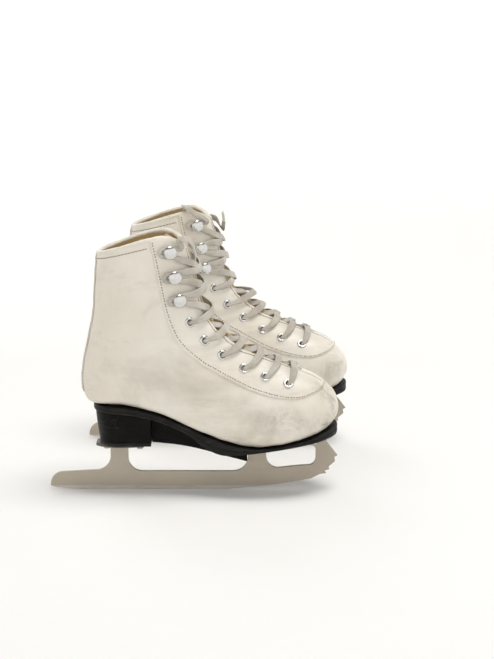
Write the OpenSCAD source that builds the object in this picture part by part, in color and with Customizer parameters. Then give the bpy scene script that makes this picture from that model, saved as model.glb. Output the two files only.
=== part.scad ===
// A pair of figure skates, standing on their blades.
// X runs to the toes, Y to the left, Z up; the origin is under the middle of the pair.
// One skate is drawn once, in its own frame: x = 0 at the back of the heel, z = 0 under the blade.

/* [Pair] */
// Distance between the two blades
blade_spacing = 210; // [118:1:215]
// How far the left skate stands ahead of the right one
stagger = 20; // [0:1:40]

/* [Boot] */
// Thickness of the leather of the upper
leather_t = 2; // [1.6:0.1:2.1]
// Half of the gap between the two facing edges
throat_half = 13; // [12:0.5:14]
// Height that the collar rises towards the front
collar_rise = 15; // [10:1:18]
// Sideways sweep of the toe towards the other foot
toe_sweep = 6; // [0:0.5:8]

/* [Sole and heel] */
// Height of the underside of the heel above the ice
heel_base_z = 50; // [49:0.5:51]
// Height of the underside of the sole at the ball of the foot
ball_base_z = 45.5; // [44:0.5:46.5]
// Thickness of the outsole at its edge
sole_t = 9; // [8:0.5:10]
// Width of the moulded web under the arch
web_w = 20; // [12:1:30]

/* [Blade] */
// Thickness of the blade
blade_t = 3.8; // [3:0.1:4.5]
// Thickness of the two mounting plates
plate_t = 2.6; // [2:0.1:3]
// Height of the runner above the ice
runner_h = 19; // [17:0.5:20]

/* [Lacing] */
// Outer diameter of an eyelet
eyelet_d = 10.4; // [9.5:0.1:11]
// Inner diameter of an eyelet
eyelet_hole_d = 5.4; // [4.8:0.1:5.4]
// Diameter of a lace hook's head
hook_d = 13; // [11:0.5:14]
// Diameter of the lace where it is drawn round
lace_d = 3; // [3:0.1:3.7]

/* [Hidden] */

tail_x = -34;
toe_x = 254.5;
mid_x = (tail_x + toe_x + stagger) / 2;

// Sections of the boot from the collar, round the heel, to the tip of the toe. Each runs from a
// point at the back or bottom to a point at the front or top:
// back x, back z, front x, front z, half width, widest place, fullness below and above it.
SECTIONS = [
    [16, 240.5, 105.5, 244, 36, 0.45, 2.3, 2.3],
    [14, 214, 113.5, 219, 36.5, 0.45, 2.3, 2.3],
    [11.8, 184, 121.5, 189, 36, 0.45, 2.3, 2.25],
    [6.2, 156, 133.5, 169.5, 35, 0.43, 2.3, 2.2],
    [0.7, 128, 147.5, 159, 34.5, 0.40, 2.4, 2.2],
    [1, 104.5, 157.5, 152.5, 34, 0.37, 2.6, 2.2],
    [10, 92.5, 165.5, 147, 34, 0.34, 3, 2.2],
    [42, 90.5, 174.5, 141.5, 34.5, 0.33, 3.6, 2.2],
    [78, 82.5, 184.5, 136, 35.5, 0.33, 5.2, 2.2],
    [112, 68.1, 195.5, 131, 38, 0.34, 6.8, 2.2],
    [142, 56.6, 206.5, 126, 41.5, 0.36, 8, 2.2],
    [170, 51.8, 218.5, 121, 44, 0.38, 8.5, 2.3],
    [196, 53.5, 230.5, 115.5, 42, 0.40, 8.5, 2.3],
    [218, 57.3, 240.5, 109, 36.5, 0.43, 7, 2.4],
    [236, 62.2, 248.5, 102, 27.5, 0.46, 5, 2.4],
    [247.5, 68.4, 253, 93.5, 15.5, 0.5, 2.8, 2.4],
    [254.5, 80, 254.5, 81, 0, 0.5, 2.2, 2.2],
    [253, 93.5, 247.5, 68.4, -15.5, 0.5, 2.8, 2.4]
];
// The tip of the toe; the section after it turns the curve over
TIP = len(SECTIONS) - 2;

// Places of the rows of a sheet along the sections, and the row where the throat closes
ROWS = [0, 0.7, 1.4, 2, 2.6, 3.2, 3.8, 4.4, 5, 5.6, 6.3, 7.5, 8.7, 9.9, 10.9,
        11.7, 12.5, 13.2, 13.9, 14.5, 15, 15.5, 15.85];
CLOSED_ROW = 14;
COLS = 24;
col_step = 360 / COLS;

// Offsets of the layers from the outer face of the upper, outer face then inner face
FACING_OFF = [1.5, 0.7];
CORE_OFF = [-leather_t - 0.25, -3];
LINING_OFF = [-3.4, -4.6];
BOARD_OFF = [-4.9, -6.9];
FOOTBED_OFF = [-7.2, -10.6];
TONGUE_SIDE_OFF = -12.8;
TONGUE_TOP_OFF = -1;
TONGUE_UNDER_OFF = -16;

// Eyelets and hooks, counted from the toe upwards: place along the sections, distance from the middle
EYELETS = [[10.45, 30], [9, 27.4], [7.65, 25.5], [5.57, 23], [3.76, 25.3], [2.57, 27.4]];
HOOKS = [[1.68, 30.8], [1.05, 31.5], [0.36, 31.5]];
eyelet_r = eyelet_d / 2;
hole_r = eyelet_hole_d / 2;
barrel_r = hole_r + 0.45;
punch_r = barrel_r + 0.4;
rivet_r = 1.3;
hook_base_z = 1.9;
hook_base_t = 0.8;
hook_neck_h = 5;
lace_r = lace_d / 2;
lace_out = 5.8;
lace_under = -8;

WHITE = [0.92, 0.89, 0.83];
TAN = [0.68, 0.52, 0.32];
BLACK = [0.09, 0.09, 0.09];
STEEL = [0.72, 0.70, 0.66];

// ---- curves ----

function spline(a, b, c, d, t) =
    0.5 * (2 * b + (c - a) * t + (2 * a - 5 * b + 4 * c - d) * t * t
           + (3 * b - a - 3 * c + d) * t * t * t);
function along(list, s) =
    let (n = len(list), i = min(max(floor(s), 0), n - 2),
         a = i > 0 ? list[i - 1] : 2 * list[0] - list[1],
         d = i + 2 < n ? list[i + 2] : 2 * list[n - 1] - list[n - 2])
    spline(a, list[i], list[i + 1], d, s - i);
function clamp(v, lo, hi) = min(max(v, lo), hi);
function unit(v) = v / max(norm(v), 0.000001);
function sweep_y(x) = toe_sweep * pow(max(0, (x - 110) / 145), 2);

// A point of the boot: place along the sections, angle round the section from the back or
// bottom (0) over the outer side (-) or the inner side (+) to the front or top (180), offset.
function skin(s, turn, off = 0) =
    let (angle = turn > 180 ? turn - 360 : turn, st = along(SECTIONS, s),
         b = [st[0], st[1]], t = [st[2], st[3]], dir = unit(t - b),
         lo = b - off * dir, hi = t + off * dir, w = max(st[4] + off, 0), a = abs(angle),
         p = 2 / (a < 90 ? st[6] : st[7]), c = pow(abs(cos(a)), p),
         q = a < 90 ? st[5] * (1 - c) : st[5] + (1 - st[5]) * c,
         x = lo.x + (hi.x - lo.x) * q + off * pow(clamp((s - 12) / 4, 0, 1), 2),
         z = lo.y + (hi.y - lo.y) * q,
         rise = 1.6 * collar_rise * q * (1 - pow(q, 6)) * pow(max(0, 1 - s / 2), 2))
    [x, sign(angle) * w * pow(abs(sin(a)), p) + sweep_y(x), z + rise];
// The angle at which the front half of a section is y away from the middle
function front_angle(s, y) =
    let (st = along(SECTIONS, s)) 180 - asin(pow(min(1, abs(y) / st[4]), st[7] / 2));
function skin_y(s, y, off) = skin(s, y < 0 ? -front_angle(s, y) : front_angle(s, y), off);
function outward(s, y) =
    let (p = skin_y(s, y, 0), u = skin_y(s + 0.05, y, 0) - p, v = skin_y(s, y * 1.05, 0) - p,
         n = unit(cross(u, v))) n * sign(n * (skin_y(s, y, 4) - p));

function throat(s) = s < 6 ? throat_half : throat_half - (throat_half - 4) * (s - 6) / 4.7;
function edge_angle(s) = s >= ROWS[CLOSED_ROW] ? 180 : front_angle(s, throat(s));

// ---- solids from lists of points ----

// A grid of points, rows by columns, as an outer and an inner skin with a rim between them
module plate_solid(outer, inner) {
    m = len(outer);
    n = len(outer[0]);
    k0 = m * n;
    points = concat([for (r = outer, p = r) p], [for (r = inner, p = r) p]);
    skins = [for (j = [0 : m - 2], k = [0 : n - 2])
        let (a = j * n + k, b = a + 1, c = a + n + 1, d = a + n)
        each [[a, b, c], [a, c, d], [k0 + a, k0 + c, k0 + b], [k0 + a, k0 + d, k0 + c]]];
    ends = [for (k = [0 : n - 2]) let (a = k, b = k + 1, c = (m - 1) * n + k, d = c + 1)
        each [[a, k0 + b, b], [a, k0 + a, k0 + b], [c, d, k0 + d], [c, k0 + d, k0 + c]]];
    sides = [for (j = [0 : m - 2]) let (a = j * n, b = a + n, c = a + n - 1, d = b + n - 1)
        each [[a, b, k0 + b], [a, k0 + b, k0 + a], [c, k0 + d, d], [c, k0 + c, k0 + d]]];
    polyhedron(points, concat(skins, ends, sides));
}

// A stack of closed rings with the same number of points, with flat or nearly flat ends
module ring_solid(rings) {
    m = len(rings);
    n = len(rings[0]);
    walls = [for (j = [0 : m - 2], k = [0 : n - 1])
        let (a = j * n + k, b = j * n + (k + 1) % n, c = b + n, d = a + n)
        each [[a, b, c], [a, c, d]]];
    first = [for (k = [1 : n - 2]) [0, k + 1, k]];
    last = [for (k = [1 : n - 2]) [(m - 1) * n, (m - 1) * n + k, (m - 1) * n + k + 1]];
    polyhedron([for (r = rings, p = r) p], concat(walls, first, last));
}

// A piece of sheet on the boot between two rows, over a list of angles
module patch(rows, angles, offs) {
    plate_solid([for (s = rows) [for (a = angles) skin(s, a, offs[0])]],
                [for (s = rows) [for (a = angles) skin(s, a, offs[1])]]);
}

// A sheet that wraps the whole boot, open at the throat, closed over the toe.
// With a tip it runs to the very front; without one it ends in an open ring.
module wrap(rows, offs, tip) {
    m = len(rows);
    n = COLS + 1;
    k0 = m * n;
    first_closed = CLOSED_ROW;
    function id(j, k) = j * n + (j >= first_closed && k == n - 1 ? 0 : k);
    function angle(j, k) = edge_angle(rows[j]) * (2 * k / COLS - 1);
    points = concat(
        [for (j = [0 : m - 1], k = [0 : n - 1]) skin(rows[j], angle(j, k), offs[0])],
        [for (j = [0 : m - 1], k = [0 : n - 1]) skin(rows[j], angle(j, k), offs[1])],
        [skin(TIP, 90, offs[0]), skin(TIP, 90, offs[1])]);
    skins = [for (j = [0 : m - 2], k = [0 : n - 2])
        let (a = id(j, k), b = id(j, k + 1), c = id(j + 1, k + 1), d = id(j + 1, k))
        each [[a, b, c], [a, c, d], [k0 + a, k0 + c, k0 + b], [k0 + a, k0 + d, k0 + c]]];
    collar = [for (k = [0 : n - 2]) let (a = id(0, k), b = id(0, k + 1))
        each [[a, k0 + b, b], [a, k0 + a, k0 + b]]];
    edges = [for (j = [0 : first_closed - 1])
        let (a = id(j, 0), b = id(j + 1, 0), c = id(j, n - 1), d = id(j + 1, n - 1))
        each [[a, b, k0 + b], [a, k0 + b, k0 + a], [c, k0 + d, d], [c, k0 + c, k0 + d]]];
    front = [for (k = [0 : n - 2]) let (a = id(m - 1, k), b = id(m - 1, k + 1))
        each (tip ? [[a, b, 2 * k0], [k0 + b, k0 + a, 2 * k0 + 1]]
                  : [[a, b, k0 + b], [a, k0 + b, k0 + a]])];
    polyhedron(points, concat(skins, collar, edges, front));
}

// A round tube along a list of points, with eight sides
module tube(path, r) {
    n = len(path);
    function dir(i) = unit(path[min(i + 1, n - 1)] - path[max(i - 1, 0)]);
    function carry(i, up) = unit(up - (up * dir(i)) * dir(i));
    start = carry(0, [0.13, 0.31, 0.94]);
    ups = [for (i = 0, up = start; i < n; i = i + 1, up = i < n ? carry(i, up) : up) up];
    ring_solid([for (i = [0 : n - 1]) let (d = dir(i), u = ups[i], v = cross(d, u))
        [for (a = [0 : 45 : 315]) path[i] + r * (cos(a) * u + sin(a) * v)]]);
}

// Stands its children on the boot, z along the outward direction
module on_boot(s, y) {
    n = outward(s, y);
    translate(skin_y(s, y, 0)) rotate([0, acos(n.z), atan2(n.y, n.x)]) children();
}
module both_sides(places) {
    for (p = places, side = [-1, 1]) on_boot(p[0], side * p[1]) children();
}
// Punched holes for the eyelets, through every layer
module punch() {
    both_sides(EYELETS) hull() {
        translate([0, 0, -7]) cylinder(r = punch_r, h = 0.5, $fn = 8);
        translate([0, 0, 3]) cylinder(r = punch_r, h = 0.5, $fn = 8);
    }
}

// ---- boot ----

module upper() {
    color(WHITE) difference() {
        wrap(ROWS, [0, -leather_t], true);
        punch();
    }
}
module lining() {
    color(TAN) difference() {
        wrap([for (j = [0 : 16]) ROWS[j]], LINING_OFF, false);
        punch();
    }
}

// The seam of the facing in place along the boot and angle, from the collar to the toe
SEAM = [[0, 105], [0.7, 107.5], [1.4, 109.3], [2, 111], [2.6, 113], [3.2, 115], [3.8, 117.5],
        [4.4, 120.5], [5, 123], [5.6, 124.7], [6.3, 125], [7.5, 121], [8.7, 118.7], [9.9, 119.6],
        [10.9, 120.5], [11.7, 125], [12.4, 139], [12.8, 158], [12.95, 180]];
function seam_inner(s) = s < 10.6 ? [s, edge_angle(s)]
    : [11.05, 176 + 4 * clamp((s - 10.6) / 2.3, 0, 1)];
function facing_row(i, off) =
    let (mirrored = i > len(SEAM) - 1, p = SEAM[mirrored ? 2 * len(SEAM) - 2 - i : i],
         q = seam_inner(p[0]), side = mirrored ? 1 : -1)
    [for (k = [0 : 4]) let (t = k / 4, s = p[0] + (q[0] - p[0]) * t,
        a = p[1] + (q[1] - p[1]) * t, centre = a > 179.9) skin(s, centre ? 180 : side * a, off)];
module facing() {
    rows = [0 : 2 * len(SEAM) - 2];
    color(WHITE) difference() {
        plate_solid([for (i = rows) facing_row(i, FACING_OFF[0])],
                    [for (i = rows) facing_row(i, FACING_OFF[1])]);
        punch();
    }
}
module back_strip() {
    color(WHITE) patch([for (j = [0 : 8]) ROWS[j]], [-15, -7.5, 0, 7.5, 15], [1.3, 0.3]);
}

// A rolled edge that sits on top of the collar
module collar_binding() {
    reach = edge_angle(0);
    function lift(a) = unit(skin(0, a, 0) - skin(0.1, a, 0));
    rings = [for (k = [0 : COLS]) let (a = reach * (2 * k / COLS - 1), up = lift(a))
        [skin(0, a, 0.8) + 0.3 * up, skin(0, a, -5) + 0.3 * up, skin(0, a, -4.6) + 2.2 * up,
         skin(0, a, -2.1) + 3 * up, skin(0, a, 0.4) + 2.2 * up]];
    color(WHITE) ring_solid(rings);
}
module tongue() {
    rows = [for (i = [0 : 13]) 0.05 + 10.2 * i / 13];
    function half(s) = 29 - 0.9 * s;
    function bulge(s, y) = max(0, 1 - abs(y) / max(throat(s) - 4, 1));
    function top(s, y) =
        TONGUE_SIDE_OFF + (TONGUE_TOP_OFF - TONGUE_SIDE_OFF) * bulge(s, y) * min(1, (10.6 - s) / 3);
    spots = [-1, -0.7, -0.5, -0.3, -0.15, 0, 0.15, 0.3, 0.5, 0.7, 1];
    color(TAN) plate_solid(
        [for (s = rows) [for (v = spots) skin_y(s, v * half(s), top(s, v * half(s)))]],
        [for (s = rows) [for (v = spots) skin_y(s, v * half(s), TONGUE_UNDER_OFF)]]);
}
module ankle_pads() {
    rows = [for (j = [1 : 6]) ROWS[j]];
    angles = [for (k = [2 : 7]) k * col_step];
    color("gainsboro") {
        patch(rows, angles, CORE_OFF);
        patch(rows, [for (k = [17 : 22]) k * col_step], CORE_OFF);
    }
}
module heel_counter() {
    color("tan") patch([for (j = [7 : 10]) ROWS[j]], [for (k = [-5 : 5]) k * col_step], CORE_OFF);
}
module toe_puff() {
    rows = [for (j = [17 : 20]) ROWS[j]];
    color("tan") patch(rows, [for (k = [5 : 19]) k * col_step], CORE_OFF);
}
module insole_board() {
    rows = [for (j = [9 : 19]) ROWS[j]];
    color("tan") patch(rows, [for (k = [-4 : 4]) k * col_step], BOARD_OFF);
}
module footbed() {
    rows = [for (j = [9 : 19]) ROWS[j]];
    color(TAN) patch(rows, [for (k = [-4 : 4]) k * col_step], FOOTBED_OFF);
}
module shank() {
    rows = [for (j = [11 : 14]) ROWS[j]];
    color(STEEL) patch(rows, [-3, 0, 3], CORE_OFF);
}

// ---- sole and heel ----

// Half width of the sole from the middle of the heel to the ball of the foot
SOLE_HALF = [[36, 31], [60, 30.5], [85, 29.5], [110, 32], [140, 39.5], [170, 44], [200, 44.2]];
heel_mid_x = 36;
heel_back_x = 10.5;
ball_x = 170;
sole_tip_x = 253.9;
breast_x = 68.5;
forefoot_slope = 0.125;
forefoot_x = 160;

function sole_place(x) =
    x < 60 ? (x - 36) / 24 : x < 110 ? 1 + (x - 60) / 25 : 3 + (x - 110) / 30;
function sole_half(x) =
    x < heel_mid_x ? SOLE_HALF[0][1] * sqrt(max(0, 1 - pow((heel_mid_x - x) / (heel_mid_x - heel_back_x), 2)))
    : x > ball_x ? SOLE_HALF[5][1] * pow(max(0, 1 - pow((x - ball_x) / (sole_tip_x - ball_x), 2.6)), 0.5)
    : along(SOLE_HALF, sole_place(x))[1];
// Height of the seat of the upper on the sole
SEAT = [[0, 92], [25, 91], [50, 88.7], [75, 82.9], [100, 72.9], [125, 62.3], [150, 54.4],
        [175, 51.6], [200, 53.6], [225, 58.6], [250, 68.2], [275, 80]];
function seat_z(x) = along(SEAT, x / 25)[1];
function forefoot_z(x) = ball_base_z + forefoot_slope * (x - forefoot_x);
// Underside of the outsole: level with the seat at the heel and arch, one flat at the forefoot
function under_z(x) =
    let (t = clamp((x - 100) / 55, 0, 1), smooth = t * t * (3 - 2 * t))
    (seat_z(x) - 7) * (1 - smooth) + forefoot_z(x) * smooth - (sole_t - 9);
STATIONS = [heel_back_x + 0.2, 12, 15, 19, 26, 36, 52, 68, 84, 100, 114, 128, 142, 156, 170, 186,
            202, 216, 228, 238, 245, 250, 252.8, 253.7];
module outsole() {
    drop = 0.8;
    color(BLACK) ring_solid([for (x = STATIONS)
        let (w = sole_half(x) + 0.6, top = seat_z(x) - drop, low = under_z(x), y = sweep_y(x))
        [[x, y - w, top], [x, y - w - 0.6, (top + low) / 2], [x, y - w + 1.2, low],
         [x, y + w - 1.2, low], [x, y + w + 0.6, (top + low) / 2], [x, y + w, top]]]);
}

// Outline of the heel seen from below: a round back and straight sides to the breast
function heel_ring(inset, z_of) =
    let (w = SOLE_HALF[0][1] - inset, back = heel_mid_x - heel_back_x - inset * 1.3)
    concat([for (a = [-90 : 15 : 90]) let (x = heel_mid_x - back * cos(a)) [x, w * sin(a), z_of(x)]],
           [[breast_x, w - 0.8, z_of(breast_x)], [breast_x, -w + 0.8, z_of(breast_x)]]);
module heel_block() {
    lift_top = heel_base_z + 4.2;
    color(BLACK) ring_solid([
        heel_ring(4.5, function (x) lift_top),
        heel_ring(2.6, function (x) lift_top + 14),
        heel_ring(1.2, function (x) under_z(x) - 0.35)]);
}
module heel_lift() {
    color([0.05, 0.05, 0.05]) ring_solid([
        heel_ring(4.6, function (x) heel_base_z),
        heel_ring(4.4, function (x) heel_base_z + 4)]);
}
// A fin under the arch that runs down to the front post of the blade
module arch_web() {
    start = breast_x + 0.3;
    end = front_post[0] - 0.7;
    crown = [[start, heel_base_z + 0.5], [90, 48.4], [108, 45.3], [126, 40.8], [144, 35.6], [end, 30.4]];
    tops = concat([[end, plate_under_z(end) - 0.3], [plate_from - 0.6, plate_under_z(plate_from) - 0.3]],
                  [for (x = [plate_from - 0.6 : -8 : start]) [x, under_z(x) - 1]]);
    color(BLACK) translate([0, web_w / 2, 0]) rotate([90, 0, 0]) linear_extrude(web_w)
        polygon(concat(crown, tops, [[start, under_z(start) - 1]]));
}

// ---- blade ----

flat_from = 20;
flat_to = 115;
rocker_r = 560;
function blade_z(x) =
    x < flat_from ? pow(flat_from - x, 2) / (2 * rocker_r)
    : x > flat_to ? pow(x - flat_to, 2) / (2 * rocker_r) : 0;
function plate_under_z(x) = forefoot_z(x) - (sole_t - 9) - plate_t - 0.25;
// Arc from one angle to another, as points
function arc(cx, cz, r, a0, a1, n) =
    [for (i = [0 : n]) let (a = a0 + (a1 - a0) * i / n) [cx + r * cos(a), cz + r * sin(a)]];
rear_post = [26.5, 44.3];
front_post = [164.3, 182.6];
pick_back_x = 232;
rear_under_z = heel_base_z - plate_t - 0.1;

function blade_outline() = concat(
    [for (x = [-28 : 12 : flat_from - 1]) [x, blade_z(x)]],
    [[flat_from, 0], [flat_to, 0]],
    [for (x = [127 : 12 : 225]) [x, blade_z(x)]],
    [[230, 12.6], [237, 15.9]],
    // teeth of the toe pick
    [[242.8, 16.5], [241.2, 19.4], [245.9, 20.6], [245.3, 23.8], [248.1, 26], [251.6, 29.2],
     [250.8, 33.4], [254, 35.2]],
    [[242, 50.4], [240, plate_under_z(240)], [front_post[0], plate_under_z(front_post[0])]],
    arc(front_post[0] - 15, runner_h + 15, 15, 0, -90, 6),
    // rear post
    arc(rear_post[1] + 14, runner_h + 14, 14, 270, 180, 6),
    [[rear_post[1], rear_under_z], [rear_post[0], rear_under_z]],
    arc(rear_post[0] - 15, runner_h + 16, 15, 0, -80, 6),
    [[-18, runner_h - 0.6]],
    arc(-21.4, 5.6, 12.6, 95, 190, 6)
);
// The window behind the toe pick stanchion
function window_outline() = concat(
    arc(front_post[1] + 12, 34.5, 12, 270, 180, 6),
    [[front_post[1], 43.5]],
    arc(pick_back_x - 5, 41, 5, 80, 0, 4),
    arc(pick_back_x - 8, 33, 8, 0, -70, 4),
    [[216, 24.8]]
);
module blade() {
    color(STEEL) translate([0, blade_t / 2, 0]) rotate([90, 0, 0])
        linear_extrude(blade_t) difference() {
            polygon(blade_outline());
            polygon(window_outline());
        }
}

plate_from = 152;
plate_to = 243;
FRONT_SCREWS = [[14, 15], [47, 19], [79, 13]];
REAR_SCREWS = [[24, 12], [57, 14]];
// The front plate in its own frame, tilted to the flat of the forefoot
module at_forefoot() {
    translate([plate_from, 0, forefoot_z(plate_from) - (sole_t - 9)])
        rotate([0, -atan(forefoot_slope), 0]) children();
}
module rounded_plate(outline, holes) {
    linear_extrude(plate_t) difference() {
        polygon(outline);
        for (h = holes, side = [-1, 1]) translate([h[0], side * h[1]]) circle(r = 2.3, $fn = 24);
    }
}
function bow(x, length, half, ends) = ends + (half - ends) * pow(sin(180 * x / length), 0.6);
function plate_outline(length, half, ends) =
    let (xs = [for (i = [0 : 10]) length * i / 10])
    concat([for (x = xs) [x, -bow(x, length, half, ends)]],
           [for (i = [10 : -1 : 0]) [xs[i], bow(xs[i], length, half, ends)]]);
module front_plate() {
    color(STEEL) at_forefoot() translate([0, 0, -plate_t - 0.1])
        rounded_plate(plate_outline(plate_to - plate_from, 26, 9), FRONT_SCREWS);
}
module rear_plate() {
    color(STEEL) translate([13, 0, rear_under_z])
        rounded_plate(plate_outline(54, 20, 8), [for (p = REAR_SCREWS) [p[0] - 13, p[1]]]);
}
// A pan-head screw seen from below: the head hangs under the plate, the thread goes up
module screw(length) {
    translate([0, 0, -1.9]) cylinder(r1 = 2.6, r2 = 4, h = 1.8, $fn = 24);
    translate([0, 0, -0.2]) cylinder(r = 2, h = length, $fn = 24);
}
module front_screws() {
    color("silver") at_forefoot() for (h = FRONT_SCREWS, side = [-1, 1])
        translate([h[0], side * h[1], -plate_t - 0.1]) screw(6);
}
module rear_screws() {
    color("silver") for (h = REAR_SCREWS, side = [-1, 1])
        translate([h[0], side * h[1], rear_under_z]) screw(16);
}

// ---- lacing ----

module eyelets() {
    flange = FACING_OFF[0] + 0.35;
    color("silver") both_sides(EYELETS) rotate_extrude($fn = 32)
        polygon([[hole_r, -5], [barrel_r, -5], [barrel_r, flange], [eyelet_r, flange],
                 [eyelet_r - 0.7, flange + 0.6], [hole_r + 1.3, flange + 0.8], [hole_r + 0.15, flange + 0.2]]);
}
module eyelet_washers() {
    color("silver") both_sides(EYELETS) translate([0, 0, -6.1]) difference() {
        cylinder(r = 4.1, h = 0.6, $fn = 32);
        translate([0, 0, -1]) cylinder(r = hole_r, h = 3, $fn = 32);
    }
}
module hooks() {
    head_z = hook_base_z + hook_base_t + hook_neck_h;
    color("silver") both_sides(HOOKS) {
        translate([0, 0, hook_base_z]) cylinder(r = 4.8, h = hook_base_t, $fn = 32);
        translate([0, 0, hook_base_z]) cylinder(r = 1.5, h = hook_base_t + hook_neck_h + 0.3, $fn = 24);
        translate([0, 0, head_z]) rotate_extrude($fn = 32)
            polygon([[0, 0], [hook_d / 2 - 0.4, 0], [hook_d / 2, 0.5], [hook_d / 2 - 0.6, 1.3],
                     [hook_d / 2 - 2.2, 2.2], [hook_d / 4 - 0.6, 2.8], [0, 3]]);
    }
}
module hook_rivets() {
    color("silver") both_sides(HOOKS) {
        translate([0, 0, -6.1]) cylinder(r = 3.4, h = 0.8, $fn = 32);
        translate([0, 0, -6]) cylinder(r = rivet_r, h = 6 + hook_base_z, $fn = 24);
    }
}

// The lace: each stop is [place along the boot, distance from the middle, offset].
// From an eyelet it comes out, crosses over the throat and dives under the other facing.
function eyelet_stops(p, side) = [[p[0], side * p[1], lace_under], [p[0], side * p[1], lace_out]];
function crossing(a, b, side, over) = [
    [a + 0.25 * (b - a), side * (throat(a) + 1.5), lace_out - 0.2],
    [a + 0.5 * (b - a), 0, over ? 6.4 : 2.4],
    [a + 0.75 * (b - a), -side * (throat(b) + 0.4), lace_under + 0.3]];
function climb(side) = [for (i = [0 : 4]) let (here = i % 2 == 0 ? side : -side)
    each concat(crossing(EYELETS[i][0], EYELETS[i + 1][0], here, here < 0),
                eyelet_stops(EYELETS[i + 1], -here))];
function hook_stops(p, side) = [
    [p[0] + 0.18, side * (p[1] - 2), 4.8], [p[0] + 0.1, side * (p[1] + 3.8), 4.8],
    [p[0] - 0.1, side * (p[1] + 3.8), 4.8], [p[0] - 0.18, side * (p[1] - 2), 4.8]];
function over_throat(a, b, side, over) = [
    [a + 0.25 * (b - a), side * 15, lace_out], [a + 0.5 * (b - a), 0, over ? 6.6 : 2.4],
    [a + 0.75 * (b - a), -side * 15, lace_out]];
// After five crossings a strand is on the other side from where it began
function hook_climb(side) = concat(
    over_throat(EYELETS[5][0], HOOKS[0][0], side, side < 0), hook_stops(HOOKS[0], -side),
    over_throat(HOOKS[0][0], HOOKS[1][0], -side, side > 0), hook_stops(HOOKS[1], side),
    over_throat(HOOKS[1][0], HOOKS[2][0], side, side < 0), hook_stops(HOOKS[2], -side));
function tucked(side) = [[0.35, -side * 15, lace_out], [0.75, -side * 8, 2.2],
    [0.95, -side * (throat_half + 0.6), lace_under + 0.2], [1.6, -side * 19, lace_under]];
function strand(side) = concat(eyelet_stops(EYELETS[0], side), climb(side), hook_climb(-side),
                               tucked(-side));
function reversed(list) = [for (i = [len(list) - 1 : -1 : 0]) list[i]];
function placed(stops) = [for (p = stops)
    abs(p[1]) < 14 ? skin_y(p[0], p[1], p[2]) : skin_y(p[0], p[1], 0) + p[2] * outward(p[0], p[1])];
STOPS = concat(reversed(strand(-1)), [[EYELETS[0][0] + 0.1, 0, lace_under - 1]], strand(1));

module lace() {
    color([0.80, 0.77, 0.71]) tube(placed(STOPS), lace_r);
}
module lace_tips() {
    color("white") for (side = [-1, 1])
        tube(placed([[1.62, side * 19, lace_under], [1.85, side * 20, lace_under],
                     [2.05, side * 20, lace_under]]), 1.5);
}

// ---- one skate and the pair ----

module piece(name) {
    if (name == "upper") upper();
    if (name == "facing") facing();
    if (name == "back_strip") back_strip();
    if (name == "collar_binding") collar_binding();
    if (name == "tongue") tongue();
    if (name == "lining") lining();
    if (name == "ankle_pads") ankle_pads();
    if (name == "heel_counter") heel_counter();
    if (name == "toe_puff") toe_puff();
    if (name == "insole_board") insole_board();
    if (name == "footbed") footbed();
    if (name == "outsole") outsole();
    if (name == "heel_block") heel_block();
    if (name == "heel_lift") heel_lift();
    if (name == "arch_web") arch_web();
    if (name == "shank") shank();
    if (name == "blade") blade();
    if (name == "front_plate") front_plate();
    if (name == "rear_plate") rear_plate();
    if (name == "front_screws") front_screws();
    if (name == "rear_screws") rear_screws();
    if (name == "eyelets") eyelets();
    if (name == "eyelet_washers") eyelet_washers();
    if (name == "hooks") hooks();
    if (name == "hook_rivets") hook_rivets();
    if (name == "lace") lace();
    if (name == "lace_tips") lace_tips();
}
module right(name) {
    translate([-mid_x, -blade_spacing / 2, 0]) piece(name);
}
module left(name) {
    translate([stagger - mid_x, blade_spacing / 2, 0]) mirror([0, 1, 0]) piece(name);
}

right("upper");  // right_upper
right("facing");  // right_facing
right("back_strip");  // right_back_strip
right("collar_binding");  // right_collar_binding
right("tongue");  // right_tongue
right("lining");  // right_lining
right("ankle_pads");  // right_ankle_pads
right("heel_counter");  // right_heel_counter
right("toe_puff");  // right_toe_puff
right("insole_board");  // right_insole_board
right("footbed");  // right_footbed
right("outsole");  // right_outsole
right("heel_block");  // right_heel_block
right("heel_lift");  // right_heel_lift
right("arch_web");  // right_arch_web
right("shank");  // right_shank
right("blade");  // right_blade
right("front_plate");  // right_front_plate
right("rear_plate");  // right_rear_plate
right("front_screws");  // right_front_screws
right("rear_screws");  // right_rear_screws
right("eyelets");  // right_eyelets
right("eyelet_washers");  // right_eyelet_washers
right("hooks");  // right_hooks
right("hook_rivets");  // right_hook_rivets
right("lace");  // right_lace
right("lace_tips");  // right_lace_tips
left("upper");  // left_upper
left("facing");  // left_facing
left("back_strip");  // left_back_strip
left("collar_binding");  // left_collar_binding
left("tongue");  // left_tongue
left("lining");  // left_lining
left("ankle_pads");  // left_ankle_pads
left("heel_counter");  // left_heel_counter
left("toe_puff");  // left_toe_puff
left("insole_board");  // left_insole_board
left("footbed");  // left_footbed
left("outsole");  // left_outsole
left("heel_block");  // left_heel_block
left("heel_lift");  // left_heel_lift
left("arch_web");  // left_arch_web
left("shank");  // left_shank
left("blade");  // left_blade
left("front_plate");  // left_front_plate
left("rear_plate");  // left_rear_plate
left("front_screws");  // left_front_screws
left("rear_screws");  // left_rear_screws
left("eyelets");  // left_eyelets
left("eyelet_washers");  // left_eyelet_washers
left("hooks");  // left_hooks
left("hook_rivets");  // left_hook_rivets
left("lace");  // left_lace
left("lace_tips");  // left_lace_tips
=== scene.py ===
import math

import bmesh
import bpy
import numpy as np
from mathutils import Matrix, Vector


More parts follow.
